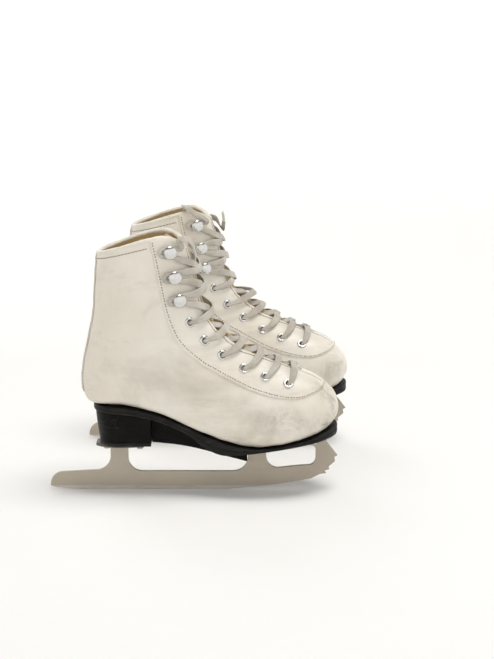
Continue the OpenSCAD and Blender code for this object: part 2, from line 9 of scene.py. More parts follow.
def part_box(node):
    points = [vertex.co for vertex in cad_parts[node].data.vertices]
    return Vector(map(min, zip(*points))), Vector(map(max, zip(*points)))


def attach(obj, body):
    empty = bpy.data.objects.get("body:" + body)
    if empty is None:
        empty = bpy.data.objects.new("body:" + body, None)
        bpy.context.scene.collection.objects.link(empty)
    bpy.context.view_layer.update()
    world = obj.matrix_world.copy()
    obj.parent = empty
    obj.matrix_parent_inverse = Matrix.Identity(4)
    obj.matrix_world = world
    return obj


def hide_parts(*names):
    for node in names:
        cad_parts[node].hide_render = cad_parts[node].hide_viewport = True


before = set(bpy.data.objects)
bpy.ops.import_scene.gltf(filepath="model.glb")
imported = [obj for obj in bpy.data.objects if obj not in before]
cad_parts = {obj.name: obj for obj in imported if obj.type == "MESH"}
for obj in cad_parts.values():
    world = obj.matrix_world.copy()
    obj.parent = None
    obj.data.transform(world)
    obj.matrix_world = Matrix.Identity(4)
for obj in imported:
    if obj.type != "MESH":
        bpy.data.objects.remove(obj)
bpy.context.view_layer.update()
print("stage 1: frame loaded")

# Shapes below are in millimetres in the frame of one skate: x = 0 at the back of the heel,
# z = 0 on the ice, the outer side of the foot towards -y. toWorld() sets them in the pair.
tailX = -34.0
skates = {}
for side, mirror in (("right", 1), ("left", -1)):
    low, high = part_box(side + "_blade")
    skates[side] = {
        "x": low.x * 1000 - tailX,
        "y": (low.y + high.y) * 500,
        "mirror": mirror,
        "body": side + "_skate",
        "tongueBody": side + "_tongue_flap",
    }


def toWorld(points, side):
    skate = skates[side]
    points = np.asarray(points, float)
    placed = np.empty(points.shape)
    placed[..., 0] = points[..., 0] + skate["x"]
    placed[..., 1] = points[..., 1] * skate["mirror"] + skate["y"]
    placed[..., 2] = points[..., 2]
    return placed / 1000


# Camera

view = {"elevation": 10.5, "distance": 1700.0, "aimX": 163.25, "aimZ": 163.1, "focal": 93.8}


def makeCamera():
    aim = Vector(toWorld([view["aimX"], 0, view["aimZ"]], "right"))
    tilt = math.radians(view["elevation"])
    back = Vector((0, -math.cos(tilt), math.sin(tilt)))
    data = bpy.data.cameras.new("camera")
    data.lens = view["focal"]
    data.sensor_width = 36
    camera = bpy.data.objects.new("camera", data)
    camera.location = aim + back * view["distance"] / 1000
    camera.rotation_mode = "QUATERNION"
    camera.rotation_quaternion = (-back).to_track_quat("-Z", "Y")
    bpy.context.scene.collection.objects.link(camera)
    bpy.context.scene.camera = camera
    bpy.context.scene.view_settings.view_transform = "Standard"  # keeps the white leather white


makeCamera()

# The surface of the boot

# Sections from the collar, round the heel, to the toe: back x, back z, front x, front z,
# half width, widest place, fullness below and above it. The last one turns the toe over.
sections = np.array(
    [
        [16, 240.5, 105.5, 244, 36, 0.45, 2.3, 2.3],
        [14, 214, 113.5, 219, 36.5, 0.45, 2.3, 2.3],
        [11.8, 184, 121.5, 189, 36, 0.45, 2.3, 2.25],
        [6.2, 156, 133.5, 169.5, 35, 0.43, 2.3, 2.2],
        [0.7, 128, 147.5, 159, 34.5, 0.40, 2.4, 2.2],
        [1, 104.5, 157.5, 152.5, 34, 0.37, 2.6, 2.2],
        [10, 92.5, 165.5, 147, 34, 0.34, 3, 2.2],
        [42, 90.5, 174.5, 141.5, 34.5, 0.33, 3.6, 2.2],
        [78, 82.5, 184.5, 136, 35.5, 0.33, 5.2, 2.2],
        [112, 68.1, 195.5, 131, 38, 0.34, 6.8, 2.2],
        [142, 56.6, 206.5, 126, 41.5, 0.36, 8, 2.2],
        [170, 51.8, 218.5, 121, 44, 0.38, 8.5, 2.3],
        [196, 53.5, 230.5, 115.5, 42, 0.40, 8.5, 2.3],
        [218, 57.3, 240.5, 109, 36.5, 0.43, 7, 2.4],
        [236, 62.2, 248.5, 102, 27.5, 0.46, 5, 2.4],
        [247.5, 68.4, 253, 93.5, 15.5, 0.5, 2.8, 2.4],
        [254.5, 80, 254.5, 81, 0, 0.5, 2.2, 2.2],
        [253, 93.5, 247.5, 68.4, -15.5, 0.5, 2.8, 2.4],
    ]
)
toeTip = len(sections) - 2
boot = {"collarRise": 15, "toeSweep": 6, "throatHalf": 13, "throatEnd": 10.9}


def along(table, place):
    table = np.asarray(table, float)
    place = np.asarray(place, float)
    last = len(table) - 1
    i = np.clip(np.floor(place).astype(int), 0, last - 1)
    t = (place - i)[..., None]
    a = np.where((i > 0)[..., None], table[np.maximum(i - 1, 0)], 2 * table[0] - table[1])
    d = np.where(
        (i + 2 <= last)[..., None], table[np.minimum(i + 2, last)], 2 * table[last] - table[last - 1]
    )
    b, c = table[i], table[i + 1]
    bend = 2 * a - 5 * b + 4 * c - d
    return 0.5 * (2 * b + (c - a) * t + bend * t**2 + (3 * b - a - 3 * c + d) * t**3)


def toeSweep(x):
    return boot["toeSweep"] * np.maximum(0, (x - 110) / 145) ** 2


def smooth(value):
    value = np.clip(value, 0, 1)
    return value * value * (3 - 2 * value)


def plainSkin(place, turn, off=0.0):
    place, turn, off = np.broadcast_arrays(
        np.asarray(place, float), np.asarray(turn, float), np.asarray(off, float)
    )
    row = along(sections, place)
    back, front = row[..., 0:2], row[..., 2:4]
    span = front - back
    direction = span / np.maximum(np.linalg.norm(span, axis=-1, keepdims=True), 1e-6)
    low = back - off[..., None] * direction
    high = front + off[..., None] * direction
    width = np.maximum(row[..., 4] + off, 0)
    angle = np.abs(turn)
    power = 2 / np.where(angle < 90, row[..., 6], row[..., 7])
    fall = np.abs(np.cos(np.radians(angle))) ** power
    widest = row[..., 5]
    q = np.where(angle < 90, widest * (1 - fall), widest + (1 - widest) * fall)
    x = low[..., 0] + (high[..., 0] - low[..., 0]) * q + off * np.clip((place - 12) / 4, 0, 1) ** 2
    z = low[..., 1] + (high[..., 1] - low[..., 1]) * q
    lift = 1.6 * boot["collarRise"] * q * (1 - q**6) * np.maximum(0, 1 - place / 2) ** 2
    y = np.sign(turn) * width * np.abs(np.sin(np.radians(angle))) ** power + toeSweep(x)
    return np.stack([x, y, z + lift], -1)


def ripple(points, wavelength, seed):
    draw = np.random.default_rng(seed)
    total = np.zeros(points.shape[:-1])
    for _ in range(7):
        way = draw.normal(size=3)
        way *= 2 * math.pi / (np.linalg.norm(way) * wavelength * draw.uniform(0.7, 1.5))
        total += np.sin(points @ way + draw.uniform(0, 6.28))
    return total / 7**0.5


# How far the worn leather stands in or out of its pattern, in millimetres
creases = {"wave": 0.35, "dimple": 0.13, "ankle": 0.55, "ball": 0.5, "counter": 0.35}


def relief(place, turn):
    points = plainSkin(place, turn)
    place, turn = np.broadcast_arrays(np.asarray(place, float), np.asarray(turn, float))
    x, z = points[..., 0], points[..., 2]
    height = creases["wave"] * ripple(points, 60, 3) + creases["dimple"] * ripple(points, 17, 4)
    # folds where the shaft meets the instep, and across the ball of the foot
    ankle = np.exp(-(((place - 4.3) / 1.3) ** 2)) * smooth((np.abs(turn) - 70) / 40)
    fold = np.sin(place * 6.0 + 0.9 * ripple(points, 45, 5) + 0.02 * turn)
    height += creases["ankle"] * ankle * (fold - 0.4)
    ball = np.exp(-(((x - 186) / 22) ** 2)) * np.exp(-(((z - 78) / 17) ** 2))
    height += creases["ball"] * ball * np.sin(x / 3.4 + 0.8 * ripple(points, 25, 6))
    counter = np.exp(-(((z - 128) / 7) ** 2)) * np.exp(-(((x - 34) / 34) ** 2))
    height -= creases["counter"] * counter
    keep = smooth(place / 0.5) * smooth((toeTip - place) / 1.2)
    return height * keep


def skin(place, turn, off=0.0):
    return plainSkin(place, turn, np.asarray(off, float) + relief(place, turn))


def frontAngle(place, y):
    row = along(sections, place)
    ratio = np.minimum(1, np.abs(y) / row[..., 4])
    return 180 - np.degrees(np.arcsin(ratio ** (row[..., 7] / 2)))


def signed(y, angle):
    return np.where(np.asarray(y) < 0, -angle, angle)


def skinY(place, y, off=0.0):
    return skin(place, signed(y, frontAngle(place, y)), off)


def unit(v):
    return v / np.maximum(np.linalg.norm(v, axis=-1, keepdims=True), 1e-9)


def outward(place, turn):
    here = plainSkin(place, turn)
    u = plainSkin(np.asarray(place) + 0.02, turn) - here
    v = plainSkin(place, np.asarray(turn) + 0.5) - here
    n = unit(np.cross(u, v))
    away = plainSkin(place, turn, 3.0) - here
    return n * np.sign((n * away).sum(-1, keepdims=True))


def throatHalf(place):
    place = np.asarray(place, float)
    half = np.where(place < 6, boot["throatHalf"], boot["throatHalf"] - 9 * (place - 6) / 4.7)
    end = boot["throatEnd"]
    rounding = np.sqrt(np.clip(1 - (np.maximum(place - (end - 0.4), 0) / 0.4) ** 2, 0, 1))
    return np.maximum(half, 0) * rounding


def edgeAngle(place):
    place = np.asarray(place, float)
    return np.where(place >= boot["throatEnd"], 180.0, frontAngle(place, throatHalf(place)))


# Meshes


def quads(rows, cols, base=0, closed=False):
    found = []
    for j in range(rows - 1):
        for k in range(cols if closed else cols - 1):
            n = (k + 1) % cols
            a = base + j * cols
            found.append((a + k, a + n, a + cols + n, a + cols + k))
    return found


# Two grids of points joined round their edges into one solid sheet
def shell(outer, inner, rimRows=None, ends=(True, True)):
    rows, cols = outer.shape[:2]
    base = rows * cols
    faces = quads(rows, cols) + [f[::-1] for f in quads(rows, cols, base)]
    for k in range(cols - 1):
        if ends[0]:
            faces.append((k + 1, k, base + k, base + k + 1))
        if ends[1]:
            a = (rows - 1) * cols + k
            faces.append((a, a + 1, base + a + 1, base + a))
    for j in range(rows - 1 if rimRows is None else rimRows):
        a, b = j * cols, (j + 1) * cols
        faces.append((a, b, base + b, base + a))
        a, b = a + cols - 1, b + cols - 1
        faces.append((b, a, base + a, base + b))
    return np.concatenate([outer.reshape(-1, 3), inner.reshape(-1, 3)]), faces


# A stack of closed rings, with a fan over each end
def rings(loops, caps=True):
    loops = np.asarray(loops)
    rows, cols = loops.shape[:2]
    points = loops.reshape(-1, 3)
    faces = quads(rows, cols, closed=True)
    if caps:
        points = np.concatenate([points, [loops[0].mean(0)], [loops[-1].mean(0)]])
        top, last = rows * cols, (rows - 1) * cols
        for k in range(cols):
            n = (k + 1) % cols
            faces.append((n, k, top))
            faces.append((last + k, last + n, top + 1))
    return points, faces


def lathe(profile, steps):
    profile = np.asarray(profile, float)
    turn = np.arange(steps) * 2 * math.pi / steps
    x = profile[:, 0][:, None] * np.cos(turn)
    y = profile[:, 0][:, None] * np.sin(turn)
    z = np.repeat(profile[:, 1][:, None], steps, 1)
    return np.stack([x, y, z], -1)


def joined(parts):
    points, faces, base = [], [], 0
    for p, f in parts:
        points.append(p)
        faces += [tuple(i + base for i in face) for face in f]
        base += len(p)
    return np.concatenate(points), faces


# Makes a mesh object on its body. The spec gives its materials and which nodes it replaces
def addPiece(name, side, points, faces, spec, marks=None, uv=None):
    mesh = bpy.data.meshes.new(side + "_" + name)
    if skates[side]["mirror"] < 0:
        faces = [f[::-1] for f in faces]
    mesh.from_pydata([tuple(p) for p in toWorld(points, side)], [], faces)
    for material in spec["materials"]:
        mesh.materials.append(material)
    if marks is not None:
        for attribute, values in marks.items():
            mesh.attributes.new(attribute, "FLOAT", "POINT").data.foreach_set(
                "value", np.asarray(values, np.float32).ravel()
            )
    if uv is not None:
        layer = mesh.uv_layers.new(name="cloth")
        loops = np.zeros(len(mesh.loops), int)
        mesh.loops.foreach_get("vertex_index", loops)
        layer.data.foreach_set("uv", np.asarray(uv, np.float32)[loops].ravel())
    built = bmesh.new()
    built.from_mesh(mesh)
    bmesh.ops.remove_doubles(built, verts=built.verts, dist=spec.get("weld", 2e-6))
    bmesh.ops.dissolve_degenerate(built, edges=built.edges, dist=1e-6)
    bmesh.ops.recalc_face_normals(built, faces=built.faces)
    built.to_mesh(mesh)
    built.free()
    mesh.polygons.foreach_set("use_smooth", [True] * len(mesh.polygons))
    piece = bpy.data.objects.new(side + "_" + name, mesh)
    bpy.context.scene.collection.objects.link(piece)
    if "sharp" in spec:
        mesh.set_sharp_from_angle(angle=math.radians(spec["sharp"]))
    if "bevel" in spec:
        bevel = piece.modifiers.new("edge", "BEVEL")
        bevel.width = spec["bevel"] / 1000
        bevel.segments = spec.get("bevelSteps", 3)
        bevel.limit_method = "ANGLE"
        bevel.angle_limit = math.radians(spec.get("bevelAngle", 50))
        bevel.harden_normals = False
    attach(piece, skates[side][spec.get("body", "body")])
    if spec.get("replaces"):
        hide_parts(*[side + "_" + node for node in spec["replaces"]])
    return piece


# Applies the modifiers that a piece has so far
def bake(piece):
    graph = bpy.context.evaluated_depsgraph_get()
    made = bpy.data.meshes.new_from_object(piece.evaluated_get(graph))
    old = piece.data
    piece.modifiers.clear()
    piece.data = made
    bpy.data.meshes.remove(old)


# Materials


# Small helper that adds and joins shader nodes
class Nodes:
    def __init__(self, name):
        self.material = bpy.data.materials.new(name)
        self.material.use_nodes = True
        self.tree = self.material.node_tree
        self.shader = self.tree.nodes["Principled BSDF"]
        self.coords = self.tree.nodes.new("ShaderNodeTexCoord").outputs["Object"]

    def add(self, kind, links=None, **settings):
        node = self.tree.nodes.new("ShaderNode" + kind)
        for key, value in settings.items():
            setattr(node, key, value)
        for socket, value in (links or {}).items():
            self.put(node.inputs[socket], value)
        return node

    def put(self, socket, value):
        if isinstance(value, bpy.types.NodeSocket):
            self.tree.links.new(value, socket)
        else:
            socket.default_value = value

    def noise(self, scale, detail=4.0, rough=0.55, coords=None, twist=0.0):
        node = self.add("TexNoise", {"Scale": scale, "Detail": detail, "Roughness": rough})
        node.inputs["Distortion"].default_value = twist
        self.put(node.inputs["Vector"], coords or self.coords)
        return node.outputs["Fac"]

    def cells(self, scale, feature="F1", coords=None):
        node = self.add("TexVoronoi", {"Scale": scale}, feature=feature)
        self.put(node.inputs["Vector"], coords or self.coords)
        return node.outputs["Distance"]

    def ramp(self, value, low, high, out=(0.0, 1.0)):
        node = self.add("MapRange", {"Value": value, "From Min": low, "From Max": high})
        node.inputs["To Min"].default_value = out[0]
        node.inputs["To Max"].default_value = out[1]
        return node.outputs["Result"]

    def calc(self, operation, a, b=0.0):
        node = self.add("Math", operation=operation)
        self.put(node.inputs[0], a)
        self.put(node.inputs[1], b)
        return node.outputs["Value"]

    def blend(self, amount, a, b, mode="MIX"):
        node = self.add("Mix", data_type="RGBA", blend_type=mode)
        self.put(node.inputs["Factor"], amount)
        self.put(node.inputs["A"], (*a, 1) if isinstance(a, tuple) else a)
        self.put(node.inputs["B"], (*b, 1) if isinstance(b, tuple) else b)
        return node.outputs["Result"]

    def attribute(self, name):
        return self.add("Attribute", attribute_name=name).outputs["Fac"]

    def bump(self, height, distance, strength=1.0, normal=None):
        node = self.add("Bump", {"Height": height, "Distance": distance, "Strength": strength})
        if normal is not None:
            self.put(node.inputs["Normal"], normal)
        return node.outputs["Normal"]

    def stretched(self, scale):
        node = self.add("Mapping", {"Vector": self.coords})
        node.inputs["Scale"].default_value = scale
        return node.outputs["Vector"]

    def finish(self, **values):
        names = {
            "color": "Base Color",
            "rough": "Roughness",
            "metal": "Metallic",
            "normal": "Normal",
            "sheen": "Sheen Weight",
            "coat": "Coat Weight",
            "coatRough": "Coat Roughness",
            "through": "Subsurface Weight",
            "specular": "Specular IOR Level",
        }
        for key, value in values.items():
            if isinstance(value, tuple) and key == "color":
                value = (*value, 1)
            self.put(self.shader.inputs[names[key]], value)
        return self.material


leather = {
    "base": (0.79, 0.75, 0.672),
    "warm": (0.715, 0.655, 0.555),
    "dirt": (0.36, 0.335, 0.275),
    "crack": (0.20, 0.18, 0.13),
    "grain": 760,
    "pores": 2600,
}


def whiteLeather():
    n = Nodes("white leather")
    # this mark holds real scuffing and also painted shade along the lace line, so the stain, scuff and crack
    # colours below darken the leather there too
    wear_and_shade = n.attribute("wear_and_shade")
    cloud = n.ramp(n.noise(14, 5), 0.35, 0.72)
    color = n.blend(cloud, leather["base"], leather["warm"])
    stain = n.ramp(n.noise(38, 8, 0.68, twist=0.6), 0.44, 0.66)
    faint = n.ramp(n.noise(1.0, 9, 0.66, coords=n.stretched((9, 9, 17)), twist=0.5), 0.5, 0.74)
    color = n.blend(n.calc("MULTIPLY", faint, 0.5), color, leather["dirt"])
    smudge = n.ramp(n.noise(1.0, 8, 0.72, coords=n.stretched((24, 24, 90))), 0.56, 0.72)
    color = n.blend(n.calc("MULTIPLY", smudge, 0.22), color, (0.30, 0.28, 0.235))
    color = n.blend(n.calc("MULTIPLY", stain, n.calc("MULTIPLY", wear_and_shade, 1.0)), color, leather["dirt"])
    streak = n.ramp(n.noise(1.0, 6, 0.6, coords=n.stretched((40, 40, 260))), 0.6, 0.74)
    scuff = n.calc("MULTIPLY", streak, n.calc("MULTIPLY", wear_and_shade, 0.55))
    color = n.blend(scuff, color, (0.30, 0.29, 0.23))
    split = n.ramp(n.cells(210, "DISTANCE_TO_EDGE"), 0.0, 0.035, (1.0, 0.0))
    broken = n.ramp(wear_and_shade, 0.72, 1.0)
    split = n.calc("MULTIPLY", split, n.calc("MULTIPLY", broken, n.ramp(n.noise(70), 0.45, 0.6)))
    color = n.blend(split, color, leather["crack"])
    grain = n.ramp(n.cells(leather["grain"], "SMOOTH_F1"), 0.0, 0.9)
    pores = n.noise(leather["pores"], 2)
    fold = n.noise(120, 6, 0.62, twist=0.4)
    normal = n.bump(fold, 0.0009, n.ramp(wear_and_shade, 0.0, 1.0, (0.22, 0.7)))
    normal = n.bump(grain, 0.00016, 0.55, normal)
    normal = n.bump(pores, 0.00006, 0.4, normal)
    normal = n.bump(n.calc("SUBTRACT", 1.0, split), 0.0005, 0.9, normal)
    rough = n.ramp(n.noise(60, 5), 0.3, 0.7, (0.36, 0.5))
    rough = n.calc("ADD", rough, n.calc("MULTIPLY", wear_and_shade, 0.22))
    return n.finish(color=color, rough=rough, normal=normal, coat=0.22, coatRough=0.3)


def tanFelt():
    n = Nodes("tan felt")
    fibre = n.noise(1.0, 5, 0.7, coords=n.stretched((900, 900, 300)), twist=1.2)
    color = n.blend(n.ramp(n.noise(30, 5), 0.3, 0.7), (0.46, 0.30, 0.115), (0.36, 0.225, 0.085))
    color = n.blend(n.ramp(fibre, 0.35, 0.75), color, (0.62, 0.45, 0.22))
    normal = n.bump(fibre, 0.0006, 0.7)
    normal = n.bump(n.noise(240, 4), 0.0008, 0.4, normal)
    return n.finish(color=color, rough=0.92, normal=normal, sheen=0.35)


def liningLeather():
    n = Nodes("tan lining leather")
    color = n.blend(n.ramp(n.noise(22, 5), 0.3, 0.7), (0.52, 0.36, 0.155), (0.41, 0.275, 0.11))
    rub = n.ramp(n.noise(55, 7, 0.65), 0.55, 0.75)
    color = n.blend(n.calc("MULTIPLY", rub, 0.5), color, (0.27, 0.18, 0.08))
    grain = n.ramp(n.cells(1100, "SMOOTH_F1"), 0.0, 0.9)
    normal = n.bump(n.noise(90, 4), 0.0007, 0.3)
    normal = n.bump(grain, 0.00012, 0.5, normal)
    return n.finish(color=color, rough=0.62, normal=normal)


def blackRubber():
    n = Nodes("black rubber")
    dust = n.ramp(n.noise(48, 8, 0.7), 0.5, 0.78)
    color = n.blend(n.calc("MULTIPLY", dust, 0.6), (0.007, 0.0066, 0.006), (0.03, 0.0275, 0.024))
    rubbed = n.ramp(n.noise(1.0, 6, 0.6, coords=n.stretched((60, 60, 500))), 0.58, 0.72)
    color = n.blend(n.calc("MULTIPLY", rubbed, 0.3), color, (0.09, 0.085, 0.075))
    normal = n.bump(n.noise(1400, 3), 0.00012, 0.5)
    normal = n.bump(n.noise(130, 5), 0.0005, 0.35, normal)
    rough = n.ramp(n.noise(75, 5), 0.3, 0.7, (0.42, 0.68))
    return n.finish(color=color, rough=rough, normal=normal, specular=0.2)


def heelPlastic():
    n = Nodes("black heel")
    color = n.blend(n.ramp(n.noise(70, 7, 0.7), 0.48, 0.8), (0.004, 0.0038, 0.0035), (0.012, 0.011, 0.010))
    nick = n.ramp(n.cells(95, "DISTANCE_TO_EDGE"), 0.0, 0.012, (1.0, 0.0))
    nick = n.calc("MULTIPLY", nick, n.ramp(n.noise(26), 0.55, 0.65))
    color = n.blend(n.calc("MULTIPLY", nick, 0.5), color, (0.11, 0.10, 0.09))
    layers = n.add("TexWave", {"Scale": 60.0, "Distortion": 0.4}, bands_direction="Z")
    n.put(layers.inputs["Vector"], n.coords)
    normal = n.bump(layers.outputs["Fac"], 0.00022, 0.35)
    normal = n.bump(n.noise(700, 3), 0.0001, 0.4, normal)
    rough = n.ramp(n.noise(65, 5), 0.3, 0.7, (0.34, 0.52))
    return n.finish(color=color, rough=rough, normal=normal, specular=0.08)


def bladeSteel():
    n = Nodes("blade steel")
    brushed = n.noise(1.0, 4, 0.6, coords=n.stretched((28, 900, 1500)))
    color = n.blend(n.ramp(n.noise(11, 4), 0.3, 0.7), (0.47, 0.42, 0.345), (0.39, 0.345, 0.285))
    spots = n.ramp(n.noise(120, 8, 0.75), 0.62, 0.78)
    color = n.blend(n.calc("MULTIPLY", spots, 0.45), color, (0.22, 0.185, 0.145))
    height = n.add("SeparateXYZ", {"Vector": n.coords}).outputs["Z"]
    ground = n.ramp(height, 0.0035, 0.0045, (1.0, 0.0))
    color = n.blend(n.calc("MULTIPLY", ground, 0.6), color, (0.68, 0.66, 0.62))
    rough = n.ramp(brushed, 0.25, 0.75, (0.34, 0.52))
    rough = n.calc("SUBTRACT", rough, n.calc("MULTIPLY", ground, 0.12))
    normal = n.bump(brushed, 0.00006, 0.5)
    scratch = n.ramp(n.noise(1.0, 2, 0.4, coords=n.stretched((30, 500, 700)), twist=2.2), 0.66, 0.7)
    normal = n.bump(n.calc("SUBTRACT", 1.0, scratch), 0.00005, 0.6, normal)
    return n.finish(color=color, rough=rough, metal=0.85, normal=normal)


def brightMetal():
    n = Nodes("nickel plate")
    worn = n.ramp(n.noise(420, 6, 0.7), 0.55, 0.75)
    color = n.blend(n.calc("MULTIPLY", worn, 0.5), (0.66, 0.655, 0.645), (0.36, 0.345, 0.32))
    rough = n.ramp(n.noise(300, 5), 0.3, 0.7, (0.13, 0.30))
    normal = n.bump(n.noise(1500, 3), 0.00004, 0.5)
    return n.finish(color=color, rough=rough, metal=0.9, normal=normal)


def plateSteel():
    n = Nodes("plated steel")
    color = n.blend(n.ramp(n.noise(60, 6), 0.35, 0.7), (0.13, 0.122, 0.11), (0.07, 0.065, 0.058))
    rough = n.ramp(n.noise(220, 5), 0.3, 0.7, (0.32, 0.5))
    normal = n.bump(n.noise(900, 3), 0.00006, 0.5)
    return n.finish(color=color, rough=rough, metal=0.85, normal=normal)


weave = {"pitch": 0.85, "height": 0.00022}


def laceCotton():
    n = Nodes("lace cotton")
    uv = n.add("UVMap", uv_map="cloth").outputs["UV"]
    parts = n.add("SeparateXYZ", {"Vector": uv})
    u, v = parts.outputs["X"], parts.outputs["Y"]
    step = 2 * math.pi / weave["pitch"]
    warp = n.calc("ABSOLUTE", n.calc("SINE", n.calc("MULTIPLY", n.calc("ADD", u, v), step)))
    weft = n.calc("ABSOLUTE", n.calc("SINE", n.calc("MULTIPLY", n.calc("SUBTRACT", u, v), step)))
    thread = n.calc("MAXIMUM", warp, weft)
    color = n.blend(n.ramp(n.noise(45, 6), 0.3, 0.72), (0.64, 0.605, 0.54), (0.42, 0.38, 0.315))
    # painted shade: the hollows between the woven threads are coloured darker
    color = n.blend(n.ramp(thread, 0.2, 0.9, (0.45, 0.0)), color, (0.33, 0.30, 0.25))
    normal = n.bump(thread, weave["height"], 0.8)
    normal = n.bump(n.noise(2400, 3), 0.0001, 0.5, normal)
    return n.finish(color=color, rough=0.86, normal=normal, sheen=0.3)


def threadCotton():
    n = Nodes("stitch thread")
    twist = n.add("TexWave", {"Scale": 900.0, "Distortion": 1.0})
    n.put(twist.inputs["Vector"], n.coords)
    color = n.blend(n.noise(60, 5), (0.62, 0.57, 0.47), (0.44, 0.40, 0.33))
    return n.finish(color=color, rough=0.8, normal=n.bump(twist.outputs["Fac"], 0.00008, 0.6))


# Painted shade: dark discs at each end of a stitch stand in for the shade inside the needle holes
def needleHoleShade():
    n = Nodes("needle hole")
    color = n.blend(n.noise(300, 4), (0.06, 0.05, 0.04), (0.13, 0.11, 0.085))
    return n.finish(color=color, rough=0.95, normal=n.bump(n.noise(2500, 2), 0.0001, 0.5))


def fibreBoard():
    n = Nodes("fibre board")
    grain = n.noise(1.0, 6, 0.7, coords=n.stretched((300, 900, 900)))
    color = n.blend(n.ramp(grain, 0.3, 0.7), (0.42, 0.32, 0.20), (0.31, 0.235, 0.145))
    return n.finish(color=color, rough=0.9, normal=n.bump(grain, 0.0003, 0.5))


def openFoam():
    n = Nodes("foam")
    holes = n.cells(900)
    # painted shade: the middle of each foam cell is coloured darker, as shade inside the pores
    color = n.blend(n.ramp(holes, 0.1, 0.8), (0.52, 0.50, 0.44), (0.74, 0.71, 0.63))
    return n.finish(color=color, rough=0.95, normal=n.bump(holes, 0.0004, 0.7))


def paleTip():
    n = Nodes("lace tip")
    color = n.blend(n.noise(200, 4), (0.72, 0.70, 0.64), (0.58, 0.56, 0.50))
    return n.finish(color=color, rough=0.3, normal=n.bump(n.noise(800, 3), 0.0001, 0.5), coat=0.5)


finishes = {
    "white": whiteLeather(),
    "felt": tanFelt(),
    "lining": liningLeather(),
    "rubber": blackRubber(),
    "heel": heelPlastic(),
    "blade": bladeSteel(),
    "bright": brightMetal(),
    "plate": plateSteel(),
    "lace": laceCotton(),
    "thread": threadCotton(),
    "hole": needleHoleShade(),
    "board": fibreBoard(),
    "foam": openFoam(),
    "tip": paleTip(),
}
print("stage 2: materials made")

# Leather pieces


# How scuffed the leather is: most at the toe, the ball and just above the sole. It also carries painted
# shade in a band either side of the lace line, which the leather turns into darker colour.
def wearAndShadeAt(points):
    points = np.asarray(points)
    x, z = points[..., 0], points[..., 2]
    seat = np.interp(x, [0, 50, 75, 100, 125, 150, 200, 255], [93, 89, 83, 74, 65, 57, 58, 72])
    low = np.exp(-np.maximum(z - seat, 0) / 9) * smooth((x - 60) / 120)
    toe = smooth((x - 205) / 45) * 0.55
    ball = np.exp(-(((x - 190) / 26) ** 2) - ((z - 80) / 14) ** 2) * 0.75
    heel = np.exp(-np.maximum(z - seat, 0) / 10) * np.exp(-x / 30) * 0.45
    # painted shade from the laces and the facing edges, together with some real grime, in a band either side
    # of the lace line
    laceShadeAndGrime = np.exp(-(((np.abs(points[..., 1]) - 15) / 9) ** 2)) * smooth((x - 90) / 30) * 0.42
    patchy = 0.75 + 0.35 * ripple(points, 40, 11)
    return np.clip((low * 0.95 + toe + ball + heel + laceShadeAndGrime) * patchy, 0, 1)


def holeCutter(side, places, radius):
    parts = []
    ring = lathe([[radius, -9], [radius, 4]], 32)
    for place, y in places:
        for hand in (-1, 1):
            points, faces = rings(ring)
            parts.append((stoodOn(points, place, hand * y), faces))
    points, faces = joined(parts)
    mesh = bpy.data.meshes.new("cutter")
    if skates[side]["mirror"] < 0:
        faces = [f[::-1] for f in faces]
    mesh.from_pydata([tuple(p) for p in toWorld(points, side)], [], faces)
    cutter = bpy.data.objects.new("cutter", mesh)
    bpy.context.scene.collection.objects.link(cutter)
    cutter.hide_render = True
    return cutter


# Points drawn with z up, stood on the boot at a place and distance from its middle
def stoodOn(points, place, y, lift=0.0, spin=0.0):
    turn = float(signed(y, frontAngle(place, y)))
    n = outward(place, turn)
    base = skin(place, turn, lift)
    up = unit(plainSkin(place - 0.05, turn) - plainSkin(place + 0.05, turn))
    u = unit(up - (up @ n) * n)
    v = np.cross(n, u)
    c, s = math.cos(spin), math.sin(spin)
    axes = np.stack([c * u + s * v, -s * u + c * v, n])
    return base + np.asarray(points) @ axes


lacing = {
    # place along the boot and distance from its middle, from the toe up
    "eyelets": [[10.45, 30], [9, 27.4], [7.65, 25.5], [5.57, 23], [3.76, 25.3], [2.57, 27.4]],
    "hooks": [[1.68, 30.8], [1.05, 31.5], [0.36, 31.5]],
    "holeR": 2.6,
}


def cutHoles(piece, side):
    cutter = holeCutter(side, lacing["eyelets"], lacing["holeR"] + 0.7)
    cut = piece.modifiers.new("holes", "BOOLEAN")
    cut.operation = "DIFFERENCE"
    cut.solver = "EXACT"
    cut.object = cutter
    bake(piece)
    bpy.data.objects.remove(cutter)
    piece.data.set_sharp_from_angle(angle=math.radians(50))


upper = {
    "rows": 250,
    "cols": 150,
    "off": (0.0, -2.0),
    "slot": "white_leather",
    "replaces": ["upper"],
    "materials": [finishes["white"]],
}


def makeUpper(side):
    places = np.concatenate([np.linspace(0, 15, upper["rows"] - 24), 15 + np.linspace(0.04, 1, 24)])
    share = np.linspace(-1, 1, upper["cols"])
    turn = edgeAngle(places)[:, None] * share[None, :]
    outer = skin(places[:, None], turn, upper["off"][0])
    inner = skin(places[:, None], turn, upper["off"][1])
    open_ = int((places < boot["throatEnd"]).sum())
    points, faces = shell(outer, inner, rimRows=open_, ends=(True, False))
    piece = addPiece("upper_leather", side, points, faces, upper, {"wear_and_shade": wearAndShadeAt(points)})
    cutHoles(piece, side)
    return piece


# The seam of the facing: place along the boot and angle, from the collar to the toe
seam = np.array(
    [
        [0, 105],
        [0.7, 107.5],
        [1.4, 109.3],
        [2, 111],
        [2.6, 113],
        [3.2, 115],
        [3.8, 117.5],
        [4.4, 120.5],
        [5, 123],
        [5.6, 124.7],
        [6.3, 125],
        [7.5, 121],
        [8.7, 118.7],
        [9.9, 119.6],
        [10.9, 120.5],
        [11.7, 125],
        [12.4, 139],
        [12.8, 158],
        [12.95, 180],
    ]
)
facing = {
    "steps": 190,
    "across": 16,
    "off": (1.3, 0.15),
    "edgeOut": 2.4,
    "bevel": 0.45,
    "slot": "white_leather",
    "replaces": ["facing"],
    "materials": [finishes["white"]],
}


